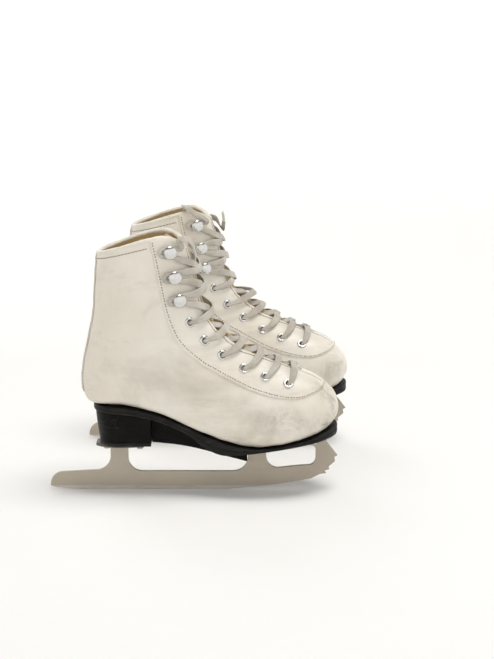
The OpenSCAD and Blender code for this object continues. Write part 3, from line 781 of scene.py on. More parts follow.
# Points of the facing by share of its length and of its width, in place and angle
def facingLine(t, inset):
    line = along(seam, np.asarray(t) * (len(seam) - 1))
    place, angle = line[..., 0], np.minimum(line[..., 1], 180)
    end = boot["throatEnd"] - 0.45
    late = np.clip((place - end) / (seam[-1][0] - end), 0, 1) * math.pi / 2
    innerPlace = np.where(place < end, place, end + 0.5 * np.sin(late))
    half = np.where(place < end, throatHalf(np.minimum(place, end)), throatHalf(end) * np.cos(late))
    innerAngle = frontAngle(np.minimum(innerPlace, 12), half)
    return place + (innerPlace - place) * inset, angle + (innerAngle - angle) * inset


def makeFacing(side):
    t = np.linspace(0, 1, facing["steps"])
    t = np.concatenate([t, t[-2::-1]])
    hand = np.concatenate([-np.ones(facing["steps"]), np.ones(facing["steps"] - 1)])
    inset = np.linspace(0, 1, facing["across"])
    place, angle = facingLine(t[:, None], inset[None, :])
    # the edge lies a little outside the line of needle holes
    spread = facing["edgeOut"] * (1 - inset[None, :]) ** 3
    turned = smooth((t[:, None] - 0.72) / 0.2)
    angle = np.minimum(angle - spread * (1 - turned), 180)
    place = place + spread * turned * 0.055
    turn = angle * hand[:, None]
    outer = skin(place, turn, facing["off"][0])
    inner = skin(place, turn, facing["off"][1])
    points, faces = shell(outer, inner)
    piece = addPiece("facing_leather", side, points, faces, facing, {"wear_and_shade": wearAndShadeAt(points) * 0.8})
    bake(piece)
    cutHoles(piece, side)
    return piece


strip = {
    "places": (0.03, 5.1),
    "half": 13.0,
    "off": (1.05, 0.1),
    "bevel": 0.4,
    "slot": "white_leather",
    "replaces": ["back_strip"],
    "materials": [finishes["white"]],
}


def makeBackStrip(side):
    places = np.linspace(*strip["places"], 90)
    half = strip["half"] + 2.0 * smooth((places - 3.2) / 2)
    turn = half[:, None] * np.linspace(-1, 1, 17)[None, :]
    outer = skin(places[:, None], turn, strip["off"][0])
    inner = skin(places[:, None], turn, strip["off"][1])
    points, faces = shell(outer, inner)
    piece = addPiece("back_strip_leather", side, points, faces, strip, {"wear_and_shade": wearAndShadeAt(points)})
    return piece


collar = {
    "steps": 180,
    "radius": 2.5,
    "slot": "white_leather",
    "replaces": ["collar_binding"],
    "materials": [finishes["white"]],
}


def makeCollar(side):
    turns = float(edgeAngle(0)) * np.linspace(-1, 1, collar["steps"])
    here = plainSkin(0, turns)
    up = unit(here - plainSkin(0.1, turns))
    out = outward(0.0, turns)
    centre = plainSkin(0, turns, -2.0) + 0.2 * up
    fullness = 1 + 0.07 * ripple(here, 12, 21) + 0.05 * ripple(here, 5, 22)
    around = np.linspace(0, 2 * math.pi, 25)[:-1]
    r = collar["radius"] * fullness[:, None, None]
    loops = centre[:, None] + r * (
        np.cos(around)[None, :, None] * out[:, None] * 1.12
        + np.sin(around)[None, :, None] * up[:, None] * 0.95
    )
    points, faces = rings(loops)
    return addPiece("collar_roll", side, points, faces, collar, {"wear_and_shade": wearAndShadeAt(points) + 0.12})


lining = {
    "off": (-3.4, -4.5),
    "bevel": 0.3,
    "slot": "tan_leather",
    "replaces": ["lining"],
    "materials": [finishes["lining"]],
}


def makeLining(side):
    places = np.linspace(0, 13.2, 170)
    turn = edgeAngle(places)[:, None] * np.linspace(-1, 1, 110)[None, :]
    outer = skin(places[:, None], turn, lining["off"][0])
    inner = skin(places[:, None], turn, lining["off"][1])
    open_ = int((places < boot["throatEnd"]).sum())
    points, faces = shell(outer, inner, rimRows=open_)
    piece = addPiece("lining_leather", side, points, faces, lining)
    bake(piece)
    cutHoles(piece, side)
    return piece


tongue = {
    "places": (0.0, 10.25),
    "sideOff": -9.6,
    "topOff": -1.3,
    "thick": 4.2,
    "bevel": 0.8,
    "body": "tongueBody",
    "slot": "tan_felt",
    "replaces": ["tongue"],
    "materials": [finishes["felt"]],
}


def makeTongue(side):
    places = np.linspace(*tongue["places"], 120)[:, None]
    across = np.linspace(-1, 1, 41)[None, :]
    half = 28 - 0.9 * places
    y = across * half
    room = np.maximum(throatHalf(places) - 1.5, 1.5)
    crown = smooth(1 - (np.abs(y) - 2) / (room + 3)) * np.minimum(1, (10.6 - places) / 3)
    off = tongue["sideOff"] + (tongue["topOff"] - tongue["sideOff"]) * crown
    turn = signed(y, frontAngle(places, y))
    base = plainSkin(places, turn, off)
    puff = 0.5 * ripple(base, 22, 31) + 0.22 * ripple(base, 8, 32)
    top = plainSkin(places, turn, off + puff - 0.5)
    under = plainSkin(places, turn, off + puff - 0.5 - tongue["thick"])
    points, faces = shell(top, under)
    piece = addPiece("tongue_felt", side, points, faces, tongue)
    return piece


# Hidden and inner layers: rows, angles, offsets and how they are finished
layers = {
    "footbed_felt": {
        "places": (5.35, 14.15),
        "half": 62,
        "off": (-7.3, -10.5),
        "slot": "tan_felt",
        "replaces": ["footbed"],
        "materials": [finishes["felt"]],
        "bevel": 0.8,
    },
    "insole_fibre": {
        "places": (5.5, 14.1),
        "half": 61,
        "off": (-5.0, -6.8),
        "slot": "fibre_board",
        "replaces": ["insole_board"],
        "materials": [finishes["board"]],
        "bevel": 0.4,
    },
    "heel_stiffener": {
        "places": (4.3, 6.3),
        "half": 76,
        "off": (-2.3, -3.1),
        "slot": "fibre_board",
        "replaces": ["heel_counter"],
        "materials": [finishes["board"]],
        "bevel": 0.2,
    },
}


def makeLayers(side):
    for name, spec in layers.items():
        places = np.linspace(*spec["places"], 90)[:, None]
        ends = np.minimum(places - spec["places"][0], spec["places"][1] - places) / 0.5
        half = spec["half"] * np.sqrt(np.clip(1 - (1 - np.clip(ends, 0.02, 1)) ** 2, 0.03, 1))
        turn = half * np.linspace(-1, 1, 41)[None, :]
        outer = skin(places, turn, spec["off"][0])
        inner = skin(places, turn, spec["off"][1])
        points, faces = shell(outer, inner)
        piece = addPiece(name, side, points, faces, spec)


padSpec = {
    "off": (-2.25, -3.1),
    "slot": "foam",
    "replaces": ["ankle_pads"],
    "materials": [finishes["foam"]],
    "bevel": 0.25,
}


def makePads(side):
    parts = []
    for hand in (-1, 1):
        places = np.linspace(0.75, 3.15, 40)[:, None]
        turn = hand * np.linspace(47, 103, 30)[None, :]
        parts.append(shell(skin(places, turn, padSpec["off"][0]), skin(places, turn, padSpec["off"][1])))
    points, faces = joined(parts)
    piece = addPiece("ankle_foam", side, points, faces, padSpec)


# Stitching

stitch = {"length": 2.9, "gap": 2.1, "width": 0.36, "height": 0.3}


# Stitches and needle holes along a line of points on the boot
def stitchParts(line, normals, length, gap, width, height):
    step = np.linalg.norm(np.diff(line, axis=0), axis=1)
    run = np.concatenate([[0], np.cumsum(step)])
    around = np.linspace(0, 2 * math.pi, 9)[:-1]
    rows = np.linspace(-1, 1, 9)
    bodies, holes = [], []
    dot = np.array([[0.05, 0.12], [0.4, 0.1], [0.62, 0.02], [0.7, -0.15]])
    for start in np.arange(1.0, run[-1] - length, length + gap):
        ends = [np.array([np.interp(p, run, line[:, i]) for i in range(3)]) for p in (start, start + length)]
        n = np.array([np.interp(start + length / 2, run, normals[:, i]) for i in range(3)])
        n = unit(n)
        way = unit(ends[1] - ends[0])
        cross = np.cross(n, way)
        middle = (ends[0] + ends[1]) / 2
        loops = []
        for r in rows:
            size = math.sqrt(max(1 - r**4, 0.02))
            centre = middle + way * r * length / 2 + n * (height * size - 0.12)
            ring = centre + size * width * (
                np.cos(around)[:, None] * cross + np.sin(around)[:, None] * n * 0.9
            )
            loops.append(ring)
        bodies.append(rings(loops))
        # a flat dark disc at each end of the stitch, painted shade for its needle hole
        for end in ends:
            disc, faces = rings(lathe(dot, 8))
            holes.append((end + disc @ np.stack([way, cross, n]), faces))
    return bodies, holes


def skinLine(places, turns, off):
    return skin(places, turns, off), outward(places, turns)


stitching = {
    "slot": "white_leather",
    "materials": [finishes["thread"]],
}
# the dark discs of painted needle-hole shade
holes = {
    "slot": "white_leather",
    "materials": [finishes["hole"]],
}


def makeStitches(side):
    lines = []
    t = np.linspace(0.004, 1, 500)
    for hand in (-1, 1):
        # the seam of the facing, then a second row just inside it from the bend downwards
        place, angle = facingLine(t, 0.0)
        lines.append((place, hand * angle, facing["off"][0], 2.6, 2.9))
        t2 = np.linspace(0.004, 0.93, 500)
        place, angle = facingLine(t2, 0.0)
        half = np.interp(place, [0, 6, 10.4], [15.8, 15.8, 8.5])
        lines.append((place, hand * frontAngle(place, half), facing["off"][0], 1.9, 1.3))
        # both sides of the back strip, and under the collar
        p = np.linspace(0.12, 5.0, 300)
        edge = strip["half"] - 2.0 + 2.0 * smooth((p - 3.2) / 2)
        lines.append((p, hand * edge, strip["off"][0], 2.0, 1.5))
        turn = np.linspace(strip["half"] + 1.0, 101, 300)
        lines.append((np.full(300, 0.19), hand * turn, 0.0, 2.0, 1.5))
    turn = np.linspace(-strip["half"] + 3, strip["half"] - 3, 60)
    lines.append((np.full(60, 0.19), turn, strip["off"][0], 2.0, 1.5))
    bodies, dots = [], []
    for place, turn, off, length, gap in lines:
        points, normals = skinLine(place, turn, off)
        made = stitchParts(points, normals, length, gap, stitch["width"], stitch["height"])
        bodies += made[0]
        dots += made[1]
    addPiece("stitches", side, *joined(bodies), stitching)
    addPiece("needle_holes", side, *joined(dots), holes)


# Eyelets and hooks

eyelet = {
    "slot": "bright_metal",
    "replaces": ["eyelets"],
    "materials": [finishes["bright"]],
    "profile": [
        [2.6, -5.2],
        [2.6, 0.9],
        [2.75, 1.75],
        [3.15, 2.25],
        [3.7, 2.42],
        [4.3, 2.3],
        [4.85, 1.95],
        [5.15, 1.5],
        [5.2, 1.25],
        [4.9, 1.2],
        [3.3, 1.2],
        [3.1, 0.9],
        [3.05, -5.2],
    ],
}
washer = {
    "slot": "bright_metal",
    "replaces": ["eyelet_washers"],
    "materials": [finishes["bright"]],
    "profile": [[3.1, -4.75], [4.2, -4.7], [4.5, -4.95], [4.2, -5.3], [3.3, -5.45], [2.7, -5.2]],
}
hook = {
    "slot": "bright_metal",
    "replaces": ["hooks"],
    "materials": [finishes["bright"]],
    "base": [[0.02, 1.35], [4.6, 1.35], [4.9, 1.6], [4.7, 2.0], [3.6, 2.25], [1.9, 2.4], [1.55, 2.9]],
    "neck": [[1.5, 5.6], [1.8, 6.3]],
    "head": [
        [3.2, 6.75],
        [5.6, 6.85],
        [6.25, 7.05],
        [6.5, 7.4],
        [6.35, 7.8],
        [5.7, 8.3],
        [4.7, 8.8],
        [3.4, 9.25],
        [1.8, 9.5],
        [0.02, 9.58],
    ],
}
rivet = {
    "slot": "bright_metal",
    "replaces": ["hook_rivets"],
    "materials": [finishes["bright"]],
    "profile": [[0.02, -4.4], [1.2, -4.4], [3.3, -4.6], [3.4, -5.0], [2.8, -5.6], [1.6, -6.0], [0.02, -6.1]],
}


def closedLathe(profile, steps=40):
    loops = lathe(profile, steps)
    points, faces = rings(loops, caps=False)
    last = (len(profile) - 1) * steps
    for k in range(steps):
        n = (k + 1) % steps
        faces.append((last + k, last + n, n, k))
    return points, faces


def makeMetal(side):
    eyeletRings, washers, hookHeads, rivets = [], [], [], []
    draw = np.random.default_rng(41)
    for place, y in lacing["eyelets"]:
        for hand in (-1, 1):
            points, faces = closedLathe(eyelet["profile"])
            points = points + np.outer(points[:, 2], draw.normal(0, 0.02, 3) * [1, 1, 0])
            eyeletRings.append((stoodOn(points, place, hand * y), faces))
            points, faces = closedLathe(washer["profile"])
            washers.append((stoodOn(points, place, hand * y), faces))
    for place, y in lacing["hooks"]:
        for hand in (-1, 1):
            profile = hook["base"] + hook["neck"] + hook["head"]
            points, faces = rings(lathe(profile, 48))
            # the neck leans so that the head hangs back over the leather
            lean = np.clip((points[:, 2] - 2.9) / 4, 0, 1)
            points = points + np.outer(lean, [0, hand * 0.9, 0])
            hookHeads.append((stoodOn(points, place, hand * y), faces))
            points, faces = rings(lathe(rivet["profile"], 32))
            rivets.append((stoodOn(points, place, hand * y), faces))
    addPiece("eyelet_rings", side, *joined(eyeletRings), eyelet)
    addPiece("eyelet_backs", side, *joined(washers), washer)
    addPiece("hook_heads", side, *joined(hookHeads), hook)
    addPiece("hook_rivet_heads", side, *joined(rivets), rivet)


# Laces

# Each stop is place along the boot, distance from the middle, height over the leather, roll of
# the tape (0 lies flat, 90 stands on edge), width and thickness.
tape = {"width": 7.4, "thick": 1.75, "holeWidth": 4.5, "holeThick": 2.6, "over": 3.6, "under": -6.3}
laceSpec = {
    "slot": "lace_cotton",
    "replaces": ["lace"],
    "materials": [finishes["lace"]],
}


def atEyelet(eyeletPlace, hand):
    place, y = eyeletPlace
    w, t = tape["holeWidth"], tape["holeThick"]
    return [
        [place, hand * y, -6.6, 0, w, t],
        [place, hand * y, -2.0, 0, w, t],
        [place, hand * y, 1.9, 0, w, t],
    ]


# From one eyelet over the throat and under the other facing to the next eyelet
def crossing(start, end, hand, over, slack):
    w, t = tape["width"], tape["thick"]
    (a, ya), (b, yb) = start, end
    d = b - a
    edgeA, edgeB = float(throatHalf(a)), float(throatHalf(b))
    mid = (5.4 if over else 3.0) + slack
    return [
        [a + 0.04 * d, hand * (ya - 3.4), tape["over"] + 1.0, 0, w * 0.74, t * 1.35],
        [a + 0.13 * d, hand * (edgeA + 0.45 * (ya - edgeA)), tape["over"] + 0.7, 0, w * 0.98, t],
        [a + 0.3 * d, hand * (edgeA - 1.5), 4.4 + 0.5 * slack, 0, w, t],
        [a + 0.48 * d, 0, mid, 0, w, t],
        [a + 0.62 * d, -hand * (edgeB - 5.5), 1.6 + 0.4 * slack, 0, w * 0.96, t],
        [a + 0.72 * d, -hand * (edgeB - 1.3), -2.9, 0, w * 0.92, t],
        [a + 0.82 * d, -hand * (edgeB + 4.0), tape["under"] - 0.3, 0, w * 0.85, t],
        [a + 0.96 * d, -hand * (yb - 3.0), -7.4, 0, w * 0.7, t * 1.3],
    ]


# Round the neck of a hook from below to above, bunched up under its head
def roundHook(hookPlace, hand, gap=0.15):
    place, y = hookPlace
    w, t = 3.7, 2.5
    return [
        [place + gap * 1.05, hand * (y - 6.0), 4.4, 0, 6.4, 2.0],
        [place + gap * 0.75, hand * (y - 0.5), 4.7, 0, w, t],
        [place + gap * 0.25, hand * (y + 2.7), 4.8, 0, w, t],
        [place - gap * 0.35, hand * (y + 2.5), 4.8, 0, w, t],
        [place - gap * 0.85, hand * (y - 1.0), 4.7, 0, w, t],
        [place - gap * 1.05, hand * (y - 6.5), 4.6, 0, 6.6, 2.0],
    ]


def overThroat(a, b, hand, over):
    w, t = tape["width"], tape["thick"]
    d = b - a
    mid = 6.4 if over else 3.4
    return [
        [a + 0.26 * d, hand * 15.5, 4.9, 0, w, t],
        [a + 0.48 * d, 0, mid, 0, w, t],
        [a + 0.74 * d, -hand * 15.5, 4.7, 0, w, t],
    ]


# Crossings that stand up loose: skate, which crossing, side that it starts from, height
slackness = {("left", 4, 1): 12.0, ("left", 3, 1): 3.0, ("right", 4, -1): 2.0, ("right", 2, 1): 1.5}


def climb(side, hand):
    stops = []
    for i in range(5):
        here = hand if i % 2 == 0 else -hand
        a, b = lacing["eyelets"][i], lacing["eyelets"][i + 1]
        stops += crossing(a, b, here, here < 0, slackness.get((side, i, here), 0.0))
        stops += atEyelet(b, -here)
    return stops


def hookClimb(hand):
    e, y = lacing["eyelets"][5]
    h = lacing["hooks"]
    first = [[e - 0.05, hand * (y - 3.4), tape["over"] + 1.0, 0, 5.6, 2.3]]
    return (
        first
        + overThroat(e, h[0][0] + 0.1, hand, hand < 0)
        + roundHook(h[0], -hand)
        + overThroat(h[0][0] - 0.1, h[1][0] + 0.1, -hand, hand > 0)
        + roundHook(h[1], hand)
        + overThroat(h[1][0] - 0.1, h[2][0] + 0.1, hand, hand < 0)
        + roundHook(h[2], -hand)
    )


# What each end of the lace does after its last hook, by skate and side of the foot
looseEnds = {
    ("right", -1): [
        [0.0, -27.0, 9.0, 15, 6.4, 1.9],
        [-0.1, -21.5, 10.5, 15, 6.8, 1.9],
        [0.08, -15.2, 9.4, 8, 7.0, 1.8],
        [0.42, -11.2, 5.2, 0, 7.2, 1.8],
        [0.66, -11.4, 0.6, 0, 6.6, 1.8],
        [0.9, -13.8, -4.6, 0, 6.2, 1.8],
        [1.2, -17.5, -7.2, 0, 5.4, 1.8],
        [1.6, -19.5, -7.2, 0, 4.0, 2.2],
    ],
    ("right", 1): [
        [0.2, 17.0, 6.2, 10, 7.0, 1.7],
        [0.38, 10.5, 4.6, 0, 7.0, 1.7],
        [0.6, 11.2, 0.5, 0, 6.6, 1.7],
        [0.85, 13.6, -4.5, 0, 6.2, 1.7],
        [1.15, 17.5, -7.2, 0, 5.4, 1.8],
        [1.58, 19.5, -7.2, 0, 4.0, 2.2],
    ],
    ("left", -1): [
        [0.12, -17.0, 6.8, -10, 7.0, 1.7],
        [0.3, -9.0, 7.4, 0, 7.0, 1.7],
        [0.28, -2.0, 8.8, 10, 6.6, 1.7],
        [0.12, 4.0, 11.0, 20, 6.2, 1.7],
        [-0.04, 8.5, 13.8, 30, 4.6, 2.0],
    ],
    ("left", 1): [
        [0.08, 28.5, 7.2, -10, 5.6, 1.9],
        [-0.04, 31.8, 6.0, 0, 6.0, 1.9],
        [-0.16, 33.4, 2.8, 0, 6.2, 1.9],
        [-0.2, 33.8, -2.4, 0, 6.4, 1.8],
        [-0.1, 33.0, -6.6, 0, 7.0, 1.7],
        [0.15, 30.5, -8.0, 0, 6.4, 1.7],
        [0.45, 27.5, -8.2, 0, 5.4, 1.8],
        [0.8, 25.0, -8.2, 0, 4.0, 2.2],
    ],
}


def tapeMesh(centres, normals, widths, thicks, around=18):
    tangents = unit(np.gradient(centres, axis=0))
    n = unit(normals - (normals * tangents).sum(-1, keepdims=True) * tangents)
    for _ in range(6):
        n[1:-1] = unit(n[:-2] + 2 * n[1:-1] + n[2:])
        n = unit(n - (n * tangents).sum(-1, keepdims=True) * tangents)
    b = np.cross(tangents, n)
    angle = np.linspace(0, 2 * math.pi, around + 1)[:-1]
    c, s = np.cos(angle), np.sin(angle)
    wide = np.sign(c) * np.abs(c) ** 0.55
    tall = np.sign(s) * np.abs(s) ** 0.75
    loops = (
        centres[:, None]
        + (widths[:, None] / 2 * wide[None, :])[..., None] * b[:, None]
        + (thicks[:, None] / 2 * tall[None, :])[..., None] * n[:, None]
    )
    run = np.concatenate([[0], np.cumsum(np.linalg.norm(np.diff(centres, axis=0), axis=1))])
    uv = np.stack(
        [np.repeat(run[:, None], around, 1), widths[:, None] / 2 * wide[None, :]], -1
    ).reshape(-1, 2)
    points, faces = rings(loops)
    uv = np.concatenate([uv, uv[:1], uv[-1:]])
    return points, faces, uv


# Turns a list of stops into the centre line, face direction and size of a tape
def layTape(stops, seed):
    stops = np.array(stops, float)
    draw = np.random.default_rng(seed)
    outside = (stops[:, 2] > 2.4) & (stops[:, 3] == 0)
    stops[:, 0] += draw.normal(0, 0.018, len(stops)) * outside
    stops[:, 2] += draw.uniform(0, 0.35, len(stops)) * outside
    stops[:, 3] += draw.normal(0, 7, len(stops)) * outside
    base = skinY(stops[:, 0], stops[:, 1], stops[:, 2])
    turn = signed(stops[:, 1], frontAngle(stops[:, 0], stops[:, 1]))
    faces = outward(stops[:, 0], turn)
    gaps = np.linalg.norm(np.diff(base, axis=0), axis=1)
    knots = np.concatenate([[0], np.cumsum(np.sqrt(np.maximum(gaps, 0.2)))])
    steps = [max(4, int(gap / 0.9)) for gap in gaps]
    between = zip(knots[:-1], knots[1:], steps)
    fine = [np.linspace(low, high, count, endpoint=False) for low, high, count in between]
    fine = np.concatenate(fine + [[knots[-1]]])
    data = np.concatenate([base, faces, stops[:, 3:]], 1)
    slopes = np.gradient(data, knots, axis=0)
    i = np.clip(np.searchsorted(knots, fine, side="right") - 1, 0, len(knots) - 2)
    h = (knots[i + 1] - knots[i])[:, None]
    t = ((fine - knots[i])[:, None]) / h
    made = (
        (2 * t**3 - 3 * t**2 + 1) * data[i]
        + (t**3 - 2 * t**2 + t) * h * slopes[i]
        + (-2 * t**3 + 3 * t**2) * data[i + 1]
        + (t**3 - t**2) * h * slopes[i + 1]
    )
    centres, facing_, roll = made[:, :3], unit(made[:, 3:6]), np.radians(made[:, 6])
    tangents = unit(np.gradient(centres, axis=0))
    # where the tape runs straight up through a hole its face looks along the boot
    place = np.interp(fine, knots, stops[:, 0])
    y = np.interp(fine, knots, stops[:, 1])
    turn = signed(y, frontAngle(place, y))
    upBoot = unit(plainSkin(place - 0.05, turn) - plainSkin(place + 0.05, turn))
    straight = np.abs((facing_ * tangents).sum(-1, keepdims=True))
    weight = smooth((straight - 0.55) / 0.35)
    n = unit(facing_ * (1 - weight) + upBoot * weight)
    n = unit(n - (n * tangents).sum(-1, keepdims=True) * tangents)
    b = np.cross(tangents, n)
    n = n * np.cos(roll)[:, None] + b * np.sin(roll)[:, None]
    return centres, n, made[:, 7], made[:, 8]


def makeLace(side):
    first = lacing["eyelets"][0]
    start = [[first[0] + 0.12, 0, -8.5, 0, tape["width"], tape["thick"]]]
    toEyelet = [[first[0] + 0.1, 14.0, -7.6, 0, 6.0, 1.6]]
    plus = toEyelet + atEyelet(first, 1) + climb(side, 1) + hookClimb(-1) + looseEnds[(side, 1)]
    minus = [[s[0], -s[1], *s[2:]] for s in toEyelet] + atEyelet(first, -1) + climb(side, -1)
    minus += hookClimb(1) + looseEnds[(side, -1)]
    stops = minus[::-1] + start + plus
    centres, n, widths, thicks = layTape(stops, 51 if side == "right" else 57)
    points, faces, uv = tapeMesh(centres, n, widths, thicks)
    addPiece("lace_tape", side, points, faces, laceSpec, uv=uv)


tips = {
    "gap": 0.6,
    "length": 12.9,
    "radius": 1.5,
    "endRadius": 1.25,
    "steps": 24,
    "slot": "clear_plastic",
    "replaces": ["lace_tips"],
    "materials": [finishes["tip"]],
}


def makeTips(side):
    parts = []
    for hand in (-1, 1):
        # each tip carries on from the last two stops of its end
        last, end = (np.array(s[:3]) for s in looseEnds[(side, hand)][-2:])
        way = (end - last) / np.linalg.norm(skinY(*end) - skinY(*last))
        run = np.linspace(tips["gap"], tips["gap"] + tips["length"], tips["steps"])
        place, y, off = (end + run[:, None] * way).T
        line = skinY(place, y, off)
        radius = np.full(tips["steps"], tips["radius"])
        radius[[0, -1]] = tips["endRadius"]
        normals = outward(place, signed(y, frontAngle(place, y)))
        points, faces, _ = tapeMesh(line, normals, radius * 2, radius * 2, 14)
        parts.append((points, faces))
    addPiece("lace_end_tips", side, *joined(parts), tips)


# Sole and heel

sole = {
    "heelX": 36.0,
    "backX": 11.2,
    "ballX": 170.0,
    "tipX": 253.2,
    "breastX": 68.5,
    "halves": [[36, 31], [60, 30.5], [85, 29.5], [110, 32], [140, 39.5], [170, 44], [200, 44.2]],
    "seat": [92, 91, 88.7, 82.9, 72.9, 62.3, 54.4, 51.6, 53.6, 58.6, 68.2, 80],
    "slope": 0.125,
    "forefootX": 160.0,
    "ballZ": 45.5,
    "heelZ": 50.0,
    "slot": "black_rubber",
    "replaces": ["outsole"],
    "materials": [finishes["rubber"]],
    # inset and height share of the lines round the edge, from the underside up
    "edge": [
        [3.2, 0.0],
        [1.5, 0.0],
        [0.6, 0.05],
        [0.15, 0.16],
        [0.0, 0.36],
        [0.1, 0.44],
        [0.55, 0.47],
        [0.55, 0.52],
        [0.1, 0.55],
        [0.0, 0.72],
        [0.25, 0.88],
        [0.9, 0.98],
        [2.4, 1.0],
    ],
}


def soleHalf(x):
    x = np.asarray(x, float)
    place = np.where(x < 60, (x - 36) / 24, np.where(x < 110, 1 + (x - 60) / 25, 3 + (x - 110) / 30))
    middle = along(sole["halves"], np.clip(place, 0, 6))[..., 1]
    back = (sole["heelX"] - x) / (sole["heelX"] - sole["backX"])
    front = (x - sole["ballX"]) / (sole["tipX"] - sole["ballX"])
    heel = sole["halves"][0][1] * np.sqrt(np.clip(1 - back**2, 0, 1))
    toe = sole["halves"][5][1] * np.clip(1 - np.clip(front, 0, 1) ** 2.6, 0, 1) ** 0.5
    return np.where(x < sole["heelX"], heel, np.where(x > sole["ballX"], toe, middle))


def seatZ(x):
    table = np.stack([np.arange(12), np.array(sole["seat"])], 1)
    return along(table, np.asarray(x) / 25)[..., 1]


def forefootZ(x):
    return sole["ballZ"] + sole["slope"] * (np.asarray(x) - sole["forefootX"])


def underZ(x):
    blend = smooth((np.asarray(x) - 100) / 55)
    return (seatZ(x) - 7) * (1 - blend) + forefootZ(x) * blend


# A closed outline with x from first to last and back, and its outward directions
def edgeLoop(first, last, half, steps):
    t = (1 - np.cos(np.linspace(0, math.pi, steps))) / 2
    x = first + (last - first) * t
    w = half(x)
    outline = np.concatenate([np.stack([x, -w], 1), np.stack([x, w], 1)[-2:0:-1]])
    tangent = np.roll(outline, -1, 0) - np.roll(outline, 1, 0)
    normal = unit(np.stack([tangent[:, 1], -tangent[:, 0]], 1))
    return outline, normal


def makeOutsole(side):
    outline, normal = edgeLoop(sole["backX"], sole["tipX"], soleHalf, 200)
    loops = []
    for inset, share in sole["edge"]:
        flat = outline - normal * (inset - 0.6)
        x = flat[:, 0]
        z = underZ(x) * (1 - share) + (seatZ(x) - 0.5) * share
        loops.append(np.stack([x, flat[:, 1] + toeSweep(x), z], 1))
    count = len(outline)
    points = np.concatenate(loops)
    faces = quads(len(loops), count, closed=True)
    last = (len(loops) - 1) * count
    for k in range(count // 2):
        a, b = k, k + 1
        c, d = (count - k - 1) % count, (count - k) % count
        faces.append((d, c, b, a) if k else (c, b, a))
        faces.append((last + a, last + b, last + c, last + d) if k else (last + a, last + b, last + c))
    return addPiece("outsole_rubber", side, points, faces, sole | {"sharp": 40, "weld": 1e-6})


heel = {
    "slot": "black_plastic",
    "replaces": ["heel_block"],
    "materials": [finishes["heel"]],
    "levels": [
        [4.6, 0.0],
        [4.1, 0.015],
        [3.9, 0.05],
        [3.0, 0.3],
        [2.2, 0.55],
        [1.5, 0.8],
        [1.15, 0.95],
        [1.3, 0.99],
        [1.9, 1.0],
    ],
}
lift = {
    "slot": "black_rubber",
    "replaces": ["heel_lift"],
    "materials": [finishes["rubber"]],
    "levels": [[5.0, 0.0], [4.4, 0.06], [4.1, 0.2], [4.0, 0.8], [4.3, 0.95], [4.9, 1.0]],
}


def heelRing(inset, steps=60):
    back = np.radians(np.linspace(-90, 90, steps))
    half = sole["halves"][0][1] - inset
    reach = sole["heelX"] - sole["backX"] - inset * 1.2
    x = sole["heelX"] - reach * np.cos(back)
    y = half * np.sin(back)
    breast = sole["breastX"]
    sides = np.linspace(0, 1, 14)[1:]
    cornerX = sole["heelX"] + (breast - 1.6 - sole["heelX"]) * sides
    top = np.stack([cornerX, np.full(13, half - 0.4) - sides * 0.6], 1)
    corner = np.radians(np.linspace(90, 0, 7))
    bend = np.stack([breast - 1.6 + 1.6 * np.cos(corner), half - 2.6 + 1.6 * np.sin(corner)], 1)
    curve = np.linspace(1, -1, 15)[1:-1]
    inner = np.stack([breast - 0.4 * (1 - curve**2), curve * (half - 2.6)], 1)
    upSide = np.concatenate([top, bend])
    return np.concatenate([np.stack([x, y], 1), upSide, inner, upSide[::-1] * [1, -1]])


def makeHeel(side):
    for spec, name, low, high in (
        (heel, "heel_stack", lambda x: np.full(len(x), 54.15), lambda x: underZ(x) - 0.3),
        (lift, "heel_top_piece", lambda x: np.full(len(x), 50.0), lambda x: np.full(len(x), 54.0)),
    ):
        loops = []
        for inset, share in spec["levels"]:
            flat = heelRing(inset)
            x = flat[:, 0]
            loops.append(np.stack([x, flat[:, 1], low(x) * (1 - share) + high(x) * share], 1))
        points, faces = rings(loops)
        addPiece(name, side, points, faces, spec | {"sharp": 35})


# Painted shadow made solid: a black wedge under the arch that stands in for the deep shadow on the floor
# under the boot; the sole is open there. The crown is its lower edge.
shadowWedge = {
    "half": 10.0,
    "slot": "black_plastic",
    "replaces": ["arch_web"],
    "materials": [finishes["heel"]],
    "crown": [[68.8, 50.5], [90, 48.4], [108, 45.3], [126, 40.8], [144, 35.6], [163.6, 30.4]],
    "plateX": 151.4,
}


# a black wedge from the heel breast to the ball, standing in for the shadow seen under the arch
def makeShadowWedge(side):
    crown = np.array(shadowWedge["crown"])
    x = np.linspace(crown[0][0], crown[-1][0], 50)
    low = along(crown, np.interp(x, crown[:, 0], np.arange(len(crown))))[:, 1]
    high = np.where(x < shadowWedge["plateX"], underZ(x) - 0.9, forefootZ(x) - 3.2)
    loops = []
    for k in range(len(x)):
        w = shadowWedge["half"]
        r = min(2.5, (high[k] - low[k]) / 3)
        turn = np.radians(np.linspace(0, 90, 6))
        bottom = np.stack([-(w - r) - r * np.cos(turn), low[k] + r - r * np.sin(turn)], 1)
        ring = np.concatenate(
            [[[-w - 1.2, high[k]]], bottom, (bottom * [-1, 1])[::-1], [[w + 1.2, high[k]]]]
        )
        loops.append(np.concatenate([np.full((len(ring), 1), x[k]), ring], 1))
    points, faces = rings(loops)
    addPiece("arch_shadow_wedge", side, points, faces, shadowWedge | {"sharp": 45})


# Blade

blade = {
    "half": 1.9,
    "flat": (20.0, 115.0),
    "rocker": 560.0,
    "runner": 19.0,
    "rearPost": (26.5, 44.3),
    "frontPost": (164.3, 182.6),
    "pickBack": 232.0,
    "bevel": 0.28,
    "bevelSteps": 2,
    "bevelAngle": 35,
    "slot": "blade_steel",
    "replaces": ["blade"],
    "materials": [finishes["blade"]],
}


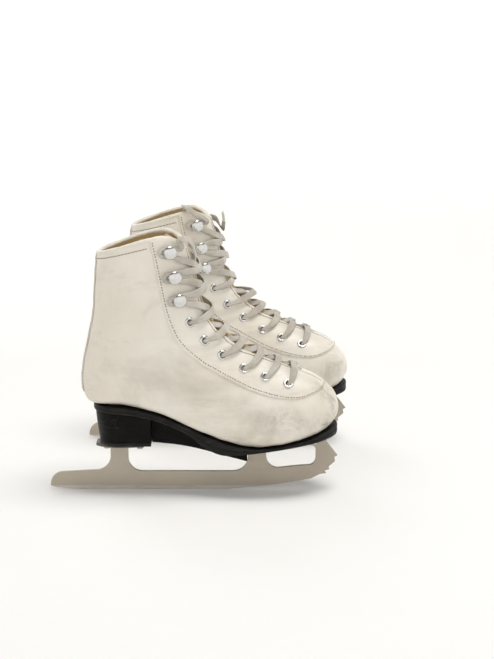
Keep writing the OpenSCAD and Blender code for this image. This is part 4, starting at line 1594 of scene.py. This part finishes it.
def iceLine(x):
    x = np.asarray(x, float)
    first, last = blade["flat"]
    beyond = np.maximum(first - x, 0) + np.maximum(x - last, 0)
    return np.stack([x, beyond**2 / (2 * blade["rocker"])], 1)


def arc(cx, cz, r, a0, a1, n=22):
    a = np.radians(np.linspace(a0, a1, n))
    return np.stack([cx + r * np.cos(a), cz + r * np.sin(a)], 1)


def bladeOutline():
    h = blade["runner"]
    rear, front = blade["rearPost"], blade["frontPost"]
    plateZ = sole["heelZ"] - 2.7
    teeth = [
        [230, 12.6],
        [236.6, 15.8],
        [242.8, 16.5],
        [241.2, 19.4],
        [245.9, 20.6],
        [245.3, 23.8],
        [248.1, 26],
        [251.6, 29.2],
        [250.8, 33.4],
        [253.9, 35.2],
    ]
    top = [[242, 50.4], [240, forefootZ(240) - 2.7], [front[0], forefootZ(front[0]) - 2.7]]
    return np.concatenate(
        [
            iceLine(np.linspace(-28, 228, 90)),
            teeth,
            top,
            arc(front[0] - 15, h + 15, 15, 0, -90),
            arc(rear[1] + 14, h + 14, 14, 270, 180),
            [[rear[1], plateZ], [rear[0], plateZ]],
            arc(rear[0] - 15, h + 16, 15, 0, -80),
            arc(-21.4, 5.6, 12.6, 95, 190),
        ]
    )


def windowOutline():
    front, back = blade["frontPost"][1], blade["pickBack"]
    return np.concatenate(
        [
            arc(front + 12, 34.5, 12, 270, 180, 16),
            [[front, 43.5]],
            arc(back - 5, 41, 5, 80, 0, 10),
            arc(back - 8, 33, 8, 0, -70, 12),
            [[216, 24.8]],
        ]
    )


def makeBlade(side):
    built = bmesh.new()
    for outline in (bladeOutline(), windowOutline()):
        ring = [built.verts.new((p[0], -blade["half"], p[1])) for p in outline]
        for a, b in zip(ring, ring[1:] + ring[:1]):
            built.edges.new((a, b))
    bmesh.ops.triangle_fill(built, edges=built.edges, use_beauty=True)
    made = bmesh.ops.extrude_face_region(built, geom=built.faces[:])
    moved = [v for v in made["geom"] if isinstance(v, bmesh.types.BMVert)]
    bmesh.ops.translate(built, verts=moved, vec=(0, 2 * blade["half"], 0))
    built.verts.index_update()
    points = np.array([v.co for v in built.verts])
    faces = [tuple(v.index for v in f.verts) for f in built.faces]
    built.free()
    addPiece("blade_steel", side, points, faces, blade | {"sharp": 25})


# Plates and screws: CAD parts with softened edges and their own finish

kept = {
    "shank": ("plate", 0.3),
    "front_plate": ("plate", 0.45),
    "rear_plate": ("plate", 0.45),
    "front_screws": ("bright", 0.2),
    "rear_screws": ("bright", 0.2),
    "toe_puff": ("board", 0.2),
}


def dressKept(side):
    for node, (finish, width) in kept.items():
        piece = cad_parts[side + "_" + node]
        piece.data.materials.clear()
        piece.data.materials.append(finishes[finish])
        bevel = piece.modifiers.new("edge", "BEVEL")
        bevel.width = width / 1000
        bevel.segments = 2
        bevel.limit_method = "ANGLE"
        bevel.angle_limit = math.radians(40)


for side in skates:
    makeUpper(side)
    makeFacing(side)
    makeBackStrip(side)
    makeCollar(side)
    makeLining(side)
    makeTongue(side)
    makeLayers(side)
    makePads(side)
    print("stage 3:", side, "leather and felt")
    makeStitches(side)
    makeMetal(side)
    makeLace(side)
    makeTips(side)
    print("stage 4:", side, "stitches, eyelets, hooks and lace")
    makeOutsole(side)
    makeHeel(side)
    makeShadowWedge(side)
    makeBlade(side)
    dressKept(side)
    print("stage 5:", side, "sole, heel and blade")


# Floor and light

floor = {
    "flat": 3.2,
    "bend": 2.0,
    "wall": 2.0,
    "color": (0.86, 0.855, 0.845),
    "glowFrom": 0.6,
    "glow": (0.06, 0.5),
}
lights = {
    "key": {"at": (0.5, -0.2, 2.3), "size": 1.2, "power": 34, "color": (1.0, 0.985, 0.955)},
    "fill": {"at": (-1.5, -1.7, 0.9), "size": 1.4, "power": 0.5, "color": (1.0, 0.99, 0.975)},
    "rim": {"at": (-0.9, 1.6, 1.5), "size": 1.2, "power": 8, "color": (0.98, 0.99, 1.0)},
}
room = {"color": (1.0, 0.985, 0.96, 1), "strength": 0.15}


def makeStudio():
    n = Nodes("floor")
    speck = n.noise(40, 6)
    color = n.blend(speck, floor["color"], tuple(c * 0.985 for c in floor["color"]))
    n.shader.inputs["Emission Color"].default_value = (1.0, 0.99, 0.975, 1)
    away = n.add("VectorMath", {0: n.coords}, operation="LENGTH").outputs["Value"]
    glow = n.ramp(away, floor["glowFrom"], floor["flat"], floor["glow"])
    n.put(n.shader.inputs["Emission Strength"], glow)
    material = n.finish(color=color, rough=0.9, normal=n.bump(speck, 0.0004, 0.2))
    bend = np.radians(np.linspace(0, 90, 16))
    reach = floor["flat"] + floor["bend"] * np.sin(bend)
    rise = floor["bend"] * (1 - np.cos(bend))
    profile = [[0.01, 0], *np.stack([reach, rise], 1), [reach[-1], rise[-1] + floor["wall"]]]
    points, faces = rings(lathe(profile, 96), caps=False)
    mesh = bpy.data.meshes.new("floor")
    mesh.from_pydata([tuple(p) for p in points], [], faces + [tuple(range(95, -1, -1))])
    mesh.polygons.foreach_set("use_smooth", [True] * len(mesh.polygons))
    mesh.materials.append(material)
    ground = bpy.data.objects.new("floor", mesh)
    bpy.context.scene.collection.objects.link(ground)
    for name, spec in lights.items():
        data = bpy.data.lights.new(name, "AREA")
        data.shape = "DISK"
        data.size = spec["size"]
        data.energy = spec["power"]
        data.color = spec["color"]
        light = bpy.data.objects.new(name, data)
        light.location = spec["at"]
        aim = Vector((0, 0, 0.12)) - light.location
        light.rotation_mode = "QUATERNION"
        light.rotation_quaternion = aim.to_track_quat("-Z", "Y")
        bpy.context.scene.collection.objects.link(light)
    world = bpy.data.worlds.new("studio")
    world.use_nodes = True
    sky = world.node_tree.nodes["Background"]
    sky.inputs["Color"].default_value = room["color"]
    sky.inputs["Strength"].default_value = room["strength"]
    bpy.context.scene.world = world


makeStudio()
print("stage 6: floor and light")
